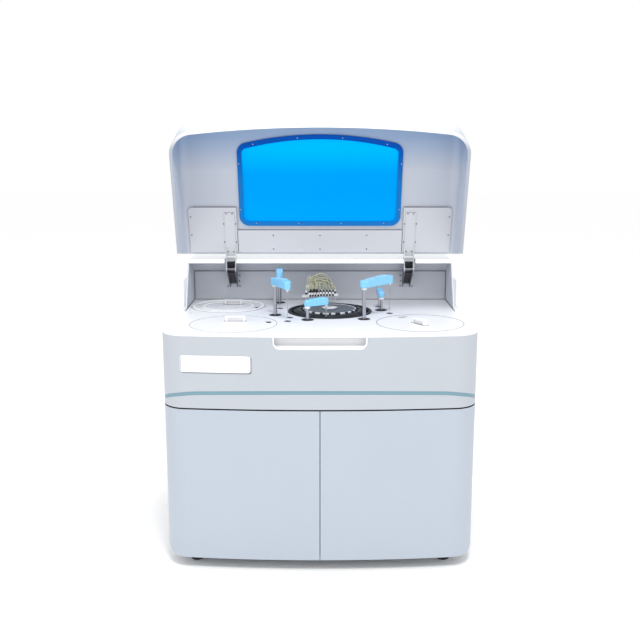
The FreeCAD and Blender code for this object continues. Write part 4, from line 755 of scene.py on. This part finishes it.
ringPlaces = []
for name, arm in armFit.items():
    px, py = middleOf(name + "_bush")
    turn = math.radians(arm["angle"])
    ringPlaces.append(moved(px, py, armTrim["deck"]))
    shell = softened(name + "_cover")
    finished(shell, name + "_shell", "arm_blue", name, making["softSmooth"])
    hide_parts(name + "_cover")
    collarFoot = (px, py, under(arm, armTrim["collarHeight"]))
    collar = hoop(armTrim["collar"], armTrim["collarWall"], armTrim["collarHeight"], collarFoot,
                  armTrim["collarSides"], armTrim["collarEdge"])
    tipFoot = (px + arm["reach"] * math.cos(turn), py + arm["reach"] * math.sin(turn),
               under(arm, armTrim["tipHeight"]))
    tip = drum(armTrim["tip"], armTrim["tipHeight"], tipFoot, armTrim["tipSides"], armTrim["tipEdge"])
    finished(joined([collar, tip]), name + "_collars", "plate_white", name)
postRing = hoop(armTrim["ring"], armTrim["ringWall"], armTrim["ringHeight"], (0, 0, 0), armTrim["ringSides"],
                armTrim["ringEdge"])
finished(copies(postRing, ringPlaces), "postRings", "black_plastic", "cabinet")
print("arms dressed")

# Finishes that change within one modelled piece, by tests on a face's centre and normal
skinFit = {
    "lidCentre": (0.0, 0.0, 1.05), "lipFoot": 1.1155, "wallFront": 0.3685,
    "pivot": (0.392, 0.259, 1.085), "boss": 0.0135, "bossHalf": 0.0188, "plateFoot": 1.1178,
    "seam": 0.6465, "seamReach": 0.005, "doorGap": 0.006,
    "gripHalf": 0.21, "gripFoot": 0.865, "gripFront": -0.423,
    "leaning": 0.3, "facing": 0.5, "square": 0.9,
}
unswing = lidSwing.inverted()
unturn = unswing.to_3x3()


def insideLid(centre, normal):
    return (Vector(skinFit["lidCentre"]) - unswing @ centre).dot(unturn @ normal) > 0


def onLidRim(centre, normal):
    return (unturn @ normal).z < -skinFit["facing"] and not insideLid(centre, normal)


# faces of the housing lip that look up or forward, which get a painted highlight
def onLip(centre, normal):
    facing = normal.z > skinFit["leaning"] or normal.y < -skinFit["leaning"]
    return facing and centre.z > skinFit["lipFoot"]


def onWallPlate(centre, normal):
    return centre.y > skinFit["wallFront"]


def atPivot(centre, normal):
    px, py, pz = skinFit["pivot"]
    beside = abs(abs(centre.x) - px) < skinFit["bossHalf"]
    return beside and math.hypot(centre.y - py, centre.z - pz) < skinFit["boss"]


# faces in the grip pocket, which get painted light
def inGrip(centre, normal):
    across = abs(centre.x) < skinFit["gripHalf"]
    return across and centre.z > skinFit["gripFoot"] and centre.y > skinFit["gripFront"]


# thin edge faces of the lid plates and hinge pads, which get painted shadow lines
def onPlateEdge(centre, normal):
    return abs((unturn @ normal).z) < skinFit["facing"] and (unswing @ centre).z > skinFit["plateFoot"]


# faces in the seam over the doors and in the gap between them, painted black as painted shade in the gaps
def atSeam(centre, normal):
    return abs(normal.z) > skinFit["square"] and abs(centre.z - skinFit["seam"]) < skinFit["seamReach"]


def atDoorGap(centre, normal):
    inGap = abs(normal.x) > skinFit["square"] and abs(centre.x) < skinFit["doorGap"]
    return inGap or atSeam(centre, normal)


# Lid shell: painted shade towards the top inside, painted highlights towards the top of its skin and rim
wear(nodes["lid_shell"], "lid_skin", [("lid_inside", insideLid), ("lid_rim", onLidRim)])
wear(nodes["rear_housing"], "housing_white", [("bright_edge", onLip)])
wear(nodes["hinge_brackets"], "dark_steel", [("housing_white", onWallPlate)])
wear(nodes["hinge_arms"], "lid_sheet", [("dark_steel", atPivot), ("joint_shadow", onPlateEdge)])
wear(nodes["lid_side_plates"], "lid_sheet", [("joint_shadow", onPlateEdge)])
wear(nodes["lid_centre_plate"], "lid_sheet", [("joint_shadow", onPlateEdge)])
wear(nodes["front_fascia"], "shell_white", [("grip_white", inGrip), ("black_plastic", atSeam)])
for name in ("left_door", "right_door"):
    wear(nodes[name], "door_paint", [("black_plastic", atDoorGap)])
print("skins sorted")

# Hinges: a black web and a pin in each bracket, a black block of painted shade in each arm's channel, and the
# screws of the bracket's foot
hingeFit = {
    "middle": 0.392,
    "web": (0.0285, 0.112, 0.02), "webPlace": (0.320, 1.044), "webEdge": 0.002, "lean": -31.8,
    "pin": 0.0048, "pinLength": 0.012, "pinPlace": (0.259, 1.085), "pinSides": 24, "pinEdge": 0.0008,
    "armShade": (0.0375, 0.034, 0.0026), "armShadePlace": (0.392, 0.251, 1.1136), "armShadeEdge": 0.0006,
    "plate": 0.372, "screw": 0.0036, "height": 0.0022,
    "screws": ((-0.027, 0.9925), (0.027, 0.9925), (-0.027, 1.0415), (0.027, 1.0415), (-0.024, 1.017)),
}
web = block(hingeFit["web"], (0, 0, 0), hingeFit["webEdge"])
web.data.transform(moved(hingeFit["middle"], *hingeFit["webPlace"]) @ turned(hingeFit["lean"], "X"))
finished(bothSides(web), "hingeWebs", "black_plastic", "cabinet")
pin = drum(hingeFit["pin"], hingeFit["pinLength"], (0, 0, -hingeFit["pinLength"] / 2), hingeFit["pinSides"],
           hingeFit["pinEdge"])
pin.data.transform(moved(hingeFit["middle"], *hingeFit["pinPlace"]) @ turned(90, "Y"))
finished(bothSides(pin), "hingePins", "bright_steel", "cabinet")
# a black block in each arm's channel, as painted shade
armShade = block(hingeFit["armShade"], hingeFit["armShadePlace"], hingeFit["armShadeEdge"])
armShade.data.transform(lidSwing)
finished(bothSides(armShade), "hingeArmShades", "black_plastic", "lid")
footMoves = [moved(hingeFit["middle"] + x, hingeFit["plate"], z) @ turned(90, "X")
             for x, z in hingeFit["screws"]]
footScrews = copies(screw(hingeFit["screw"], hingeFit["height"]), footMoves)
finished(bothSides(footScrews), "hingeFootScrews", "dark_steel", "cabinet")
print("hinges dressed")

# Joint lines round the work area, as thin dark strips of painted shadow
jointFit = {"side": 0.5712, "back": 0.3737, "front": 0.075, "deck": 0.931, "soffit": 1.0632, "wide": 0.0026,
            "lowShare": 0.7, "edge": 0.0004}
jw, jb, jd, js = jointFit["wide"], jointFit["back"], jointFit["deck"], jointFit["soffit"]
along, edge = jb - jointFit["front"], jointFit["edge"]
thin = jw * jointFit["lowShare"]
sideJoint = block((jw, along, jw), (jointFit["side"], jb - along / 2, jd + jw / 2), edge)
cornerJoint = block((jw, jw, js - jd), (jointFit["side"], jb - jw / 2, (js + jd) / 2), edge)
backJoint = block((2 * jointFit["side"], jw, thin), (0, jb - jw / 2, jd + thin / 2), edge)
soffitJoint = block((2 * jointFit["side"], jw, jw), (0, jb - jw / 2, js - jw / 2), edge)
joints = joined([bothSides(joined([sideJoint, cornerJoint])), backJoint, soffitJoint])
finished(joints, "jointShadowStrips", "joint_shadow", "cabinet")
print("joint strips laid")

# Round covers: a filled grip under each handle bar on a dark foot that is a painted shadow, raised rings with
# a painted highlight on the rear one, and seams drawn as dark rings of painted shadow
coverFit = {
    "level": 0.931, "fill": (0.0598, 0.006, 0.0146), "foot": (0.0875, 0.0195, 0.0009), "edge": 0.0003,
    "handles": {"reagent_cover_front": (-0.338, -0.14, 0.0), "reagent_cover_rear": (-0.383, 0.242, 0.0),
                "sample_cover": (0.391, -0.202, -57.0)},
    "rearCentre": (-0.4, 0.195, 0.931), "rings": ((0.157, 0.012, 0.0045), (0.112, 0.01, 0.003)),
    "ringSides": 96, "ringEdge": 0.001, "seamSides": 120,
    "seams": ((-0.341, -0.196, 0.1722, 0.0016, 0.0004), (-0.4, 0.195, 0.1602, 0.0016, 0.0004),
              (0.396, -0.178, 0.1728, 0.0026, 0.0006)),
}
for name, (hx, hy, turn) in coverFit["handles"].items():
    there = moved(hx, hy, coverFit["level"]) @ turned(turn, "Z")
    fill = standing(coverFit["fill"], coverFit["edge"])
    fill.data.transform(there)
    finished(fill, name + "_grip", "deck_white", name)
    # a thin dark plate under each handle, as a painted shadow round its base
    foot = standing(coverFit["foot"], coverFit["edge"])
    foot.data.transform(there)
    finished(foot, name + "_foot", "joint_shadow", name)
# the rear cover's raised rings carry a painted highlight
rings = [hoop(radius, wall, height, coverFit["rearCentre"], coverFit["ringSides"], coverFit["ringEdge"])
         for radius, wall, height in coverFit["rings"]]
finished(joined(rings), "rearCoverRings", "bright_edge", "reagent_cover_rear")
# dark rings round the covers, as painted shadow in their seams
seams = [hoop(radius, wall, height, (x, y, coverFit["level"]), coverFit["seamSides"])
         for x, y, radius, wall, height in coverFit["seams"]]
finished(joined(seams), "coverSeamShadows", "joint_shadow", "cabinet")
print("covers dressed")

# Small trim: blank plugs in the deck
plugFit = {"radius": 0.0062, "height": 0.0016, "sides": 24, "edge": 0.0004, "press": (0.0016, 0.0004),
           "level": 0.931, "places": ((-0.567, -0.2436), (-0.5416, 0.026), (0.2787, 0.1167))}
plug = drum(plugFit["radius"], plugFit["height"], (0, 0, 0), plugFit["sides"], plugFit["edge"])
pressed(plug, *plugFit["press"])
plugs = copies(plug, [moved(x, y, plugFit["level"]) for x, y in plugFit["places"]])
finished(plugs, "deckPlugs", "lid_sheet", "cabinet")

# Nameplate, a little to the right of its solid, with a dark copy behind it as a painted drop shadow
nameplateFit = {"dropShadow": (0.0112, -0.0002, -0.003), "face": (0.0085, -0.0007, 0.0)}
dropShadow = twinOf("nameplate")
dropShadow.data.transform(moved(*nameplateFit["dropShadow"]))
finished(dropShadow, "nameplateDropShadow", "joint_shadow", "cabinet")
face = twinOf("nameplate")
face.data.transform(moved(*nameplateFit["face"]))
finished(face, "nameplateFace", "plate_white", "cabinet")
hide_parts("nameplate")
print("small trim placed")

# Grip in the fascia: a rounded bead along its edge with a painted highlight, and fillers in its two lower
# corners
gripFit = {
    "half": 0.1725, "top": 0.926, "foot": 0.8805, "round": 0.026, "bead": 0.0032,
    "probeDrop": 0.006, "probeOut": 0.012, "probeFrom": -1.0, "sideSink": 0.6, "pullShare": 0.55,
    "topTail": 0.01, "turnTail": 0.006, "ease": 0.0006, "flat": (0.04, 0.0008), "middle": 0.06,
    "filler": (0.030, 0.003, 0.0275), "edge": 0.178, "floor": 0.879, "cutter": 0.02, "cutterSides": 64,
}


def fasciaFront(x, z):  # where the front of the fascia lies
    probe = Vector((x, gripFit["probeFrom"], z))
    place = nodes["front_fascia"].ray_cast(probe, Vector((0, 1, 0)))[1]
    return place.y


def onLeft(place, before, after):  # the same point of a path on the left side
    return [(-x, y, z) for x, y, z in (place, after, before)]


half, foot, turn = gripFit["half"], gripFit["foot"], gripFit["round"]
middleFront = fasciaFront(0.0, foot - gripFit["probeDrop"]) + gripFit["bead"]
cornerFront = fasciaFront(half + gripFit["probeOut"], foot)
sideFront = cornerFront + gripFit["bead"] * gripFit["sideSink"]
pull = turn * gripFit["pullShare"]
flat, back = gripFit["flat"]
rightPath = [((half - turn, sideFront - gripFit["ease"], foot), (-flat, -back, 0), (pull, 0, 0)),
             ((half, sideFront, foot + turn), (0, 0, -pull), (0, 0, gripFit["turnTail"])),
             ((half, sideFront, gripFit["top"]), (0, 0, -gripFit["topTail"]), (0, 0, gripFit["topTail"]))]
middlePoint = ((0, middleFront, foot), (-gripFit["middle"], 0, 0), (gripFit["middle"], 0, 0))
path = [onLeft(*point) for point in reversed(rightPath)] + [middlePoint] + rightPath
# the bead carries a painted highlight along the grip's lower edge
bead = tube(path, gripFit["bead"])
finished(bead, "gripBead", "bright_edge", "cabinet", making["softSmooth"])
fx, fy, fz = gripFit["filler"]
filler = block(gripFit["filler"], (gripFit["edge"] - fx / 2, cornerFront + fy / 2, gripFit["floor"] + fz / 2))
cutter = drum(turn, gripFit["cutter"], (0, 0, -gripFit["cutter"] / 2), gripFit["cutterSides"])
cutter.data.transform(moved(half - turn, sideFront, foot + turn) @ turned(90, "X"))
applied(filler, "BOOLEAN", operation="DIFFERENCE", object=cutter)
bpy.data.objects.remove(cutter)
finished(bothSides(filler), "gripCorners", "shell_white", "cabinet")
print("grip dressed")

# Tanks: ribbed caps and hoses
tankFit = {
    "hoses": {"water_tank": "clear_tube", "waste_tank": "black_plastic"}, "edge": 0.0006,
    "ribs": 28, "rib": (0.0026, 0.0022, 0.018), "capRadius": 0.031, "capHeight": 0.022,
    "nozzle": 0.0085, "nozzleHeight": 0.012, "nozzleSides": 6, "nozzleSink": 0.001, "nozzleEdge": 0.0008,
    "hose": 0.0055, "hoseSink": 0.003, "rise": 0.022, "back": 0.165, "tail": 0.01, "pull": 0.08,
}
for name, look in tankFit["hoses"].items():
    tx, ty = middleOf(name)
    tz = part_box(name)[1][2]
    rib = block(tankFit["rib"], (0, -tankFit["capRadius"], tz - tankFit["capHeight"] / 2), tankFit["edge"])
    ribs = copies(rib, [moved(tx, ty, 0) @ spoke for spoke in spokes(tankFit["ribs"])])
    stem = drum(tankFit["nozzle"], tankFit["nozzleHeight"], (tx, ty, tz - tankFit["nozzleSink"]),
                tankFit["nozzleSides"], tankFit["nozzleEdge"])
    finished(joined([ribs, stem]), name + "_capRibs", "black_plastic", "cabinet")
    start = (tx, ty, tz + tankFit["nozzleHeight"] - tankFit["hoseSink"])
    end = (tx, ty + tankFit["back"], tz + tankFit["rise"])
    hose = tube([(start, (0, 0, -tankFit["tail"]), (0, 0, tankFit["rise"])),
                 (end, (0, -tankFit["pull"], 0), (0, tankFit["tail"], 0))], tankFit["hose"])
    finished(hose, name + "_hose", look, "cabinet", making["softSmooth"])

# Pump: a ring of bolts round its head, a port with its pipe, and fins round its motor
pumpFit = {
    "radius": 0.055, "bolts": 6, "boltRing": 0.029, "bolt": 0.0042, "boltHeight": 0.004,
    "port": 0.009, "portHeight": 0.014, "portSides": 6, "portEdge": 0.001,
    "pipe": 0.005, "pipeSink": 0.002, "pipeAside": 0.075, "pipeBack": 0.03, "pipeRise": 0.02,
    "pipePull": 0.03, "pipeRun": 0.05, "pipeTail": 0.01,
    "fins": 7, "fin": 0.0578, "finWall": 0.004, "finWidth": 0.0035, "finSides": 48, "finEdge": 0.0006,
    "finInset": 0.012, "finStep": 0.019,
}
low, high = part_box("vacuum_pump")
px, pz = (low[0] + high[0]) / 2, high[2] - pumpFit["radius"]
facingFront = moved(px, low[1], pz) @ turned(90, "X")
boltMoves = [facingFront @ spoke @ moved(pumpFit["boltRing"], 0, 0) for spoke in spokes(pumpFit["bolts"])]
bolts = copies(screw(pumpFit["bolt"], pumpFit["boltHeight"]), boltMoves)
finished(bolts, "pumpBolts", "dark_steel", "cabinet")
port = drum(pumpFit["port"], pumpFit["portHeight"], (0, 0, 0), pumpFit["portSides"], pumpFit["portEdge"])
port.data.transform(facingFront)
pipeTail = (0, pumpFit["pipeTail"], 0)
towardsBack = (0, pumpFit["pipeRun"], 0)
beside, above = px + pumpFit["pipeAside"], pz + pumpFit["pipeRise"]
towardsFront = (0, -pumpFit["pipeRun"], 0)
mouth = low[1] - pumpFit["portHeight"] + pumpFit["pipeSink"]
pipe = tube([((px, mouth, pz), pipeTail, (0, -pumpFit["pipePull"], 0)),
             ((beside, low[1] + pumpFit["pipeBack"], above), towardsFront, towardsBack),
             ((beside, high[1], above), towardsFront, pipeTail)], pumpFit["pipe"])
finished(joined([port, pipe]), "pumpPipe", "black_plastic", "cabinet")
fins = []
for number in range(pumpFit["fins"]):
    fin = hoop(pumpFit["fin"], pumpFit["finWall"], pumpFit["finWidth"], (0, 0, 0), pumpFit["finSides"],
               pumpFit["finEdge"])
    finBack = high[1] - pumpFit["finInset"] - pumpFit["finStep"] * number
    fin.data.transform(moved(px, finBack, pz) @ turned(90, "X"))
    fins.append(fin)
finished(joined(fins), "pumpFins", "pump_metal", "cabinet")

# Power supply: a screw in each front corner
supplyFit = {"inset": 0.009, "screw": 0.0034, "height": 0.0018}
low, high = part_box("power_supply")
inset = supplyFit["inset"]
corners = [moved(x, low[1], z) @ turned(90, "X")
           for x in (low[0] + inset, high[0] - inset) for z in (low[2] + inset, high[2] - inset)]
supplyScrews = copies(screw(supplyFit["screw"], supplyFit["height"]), corners)
finished(supplyScrews, "supplyScrews", "dark_steel", "cabinet")
print("lower bays dressed")

# Studio: an even white sky, three soft lights and a white floor
studio = {
    "aim": (0.0, 0.0, 0.9),
    "lights": {"key": {"place": (0.3, -2.3, 4.4), "size": 0.9, "power": 86.0},
               "fill": {"place": (-3.0, -2.2, 2.4), "size": 2.4, "power": 12.0},
               "top": {"place": (0.0, 0.3, 4.2), "size": 2.2, "power": 14.0}},
    "floor": {"size": 60.0, "colour": (0.99, 0.99, 0.99), "roughness": 0.9},
    "sky": {"colour": (1.0, 1.0, 1.0), "strength": 1.0},
}
for name, made in studio["lights"].items():
    lamp = bpy.data.lights.new(name, "AREA")
    lamp.energy = made["power"]
    lamp.size = made["size"]
    holder = bpy.data.objects.new(name, lamp)
    bpy.context.scene.collection.objects.link(holder)
    holder.location = made["place"]
    towards = Vector(studio["aim"]) - Vector(made["place"])
    holder.rotation_euler = towards.to_track_quat("-Z", "Y").to_euler()

world = bpy.data.worlds.new("studioSky")
bpy.context.scene.world = world
world.use_nodes = True
sky = world.node_tree.nodes["Background"]
sky.inputs["Color"].default_value = (*studio["sky"]["colour"], 1.0)
sky.inputs["Strength"].default_value = studio["sky"]["strength"]

bpy.ops.mesh.primitive_plane_add(size=studio["floor"]["size"], location=(0, 0, 0))
floor = bpy.context.object
floor.name = "studioFloor"
floorLook = Look("studioFloor", {"Base Color": studio["floor"]["colour"],
                                 "Roughness": studio["floor"]["roughness"]})
floor.data.materials.append(floorLook.material)

# Camera: the photograph's own place, tilt and focal length in pixels
view = {"place": (0.0, -3.553, 1.602), "down": 11.06, "focal": 870.0, "frame": 640.0, "sensor": 36.0}
lens = bpy.data.cameras.new("photoCamera")
lens.sensor_width = view["sensor"]
lens.lens = view["focal"] / view["frame"] * view["sensor"]
camera = bpy.data.objects.new("photoCamera", lens)
bpy.context.scene.collection.objects.link(camera)
camera.location = view["place"]
camera.rotation_euler = (math.radians(90.0 - view["down"]), 0.0, 0.0)
bpy.context.scene.camera = camera
bpy.context.scene.view_settings.view_transform = "Standard"
print("studio and camera set")
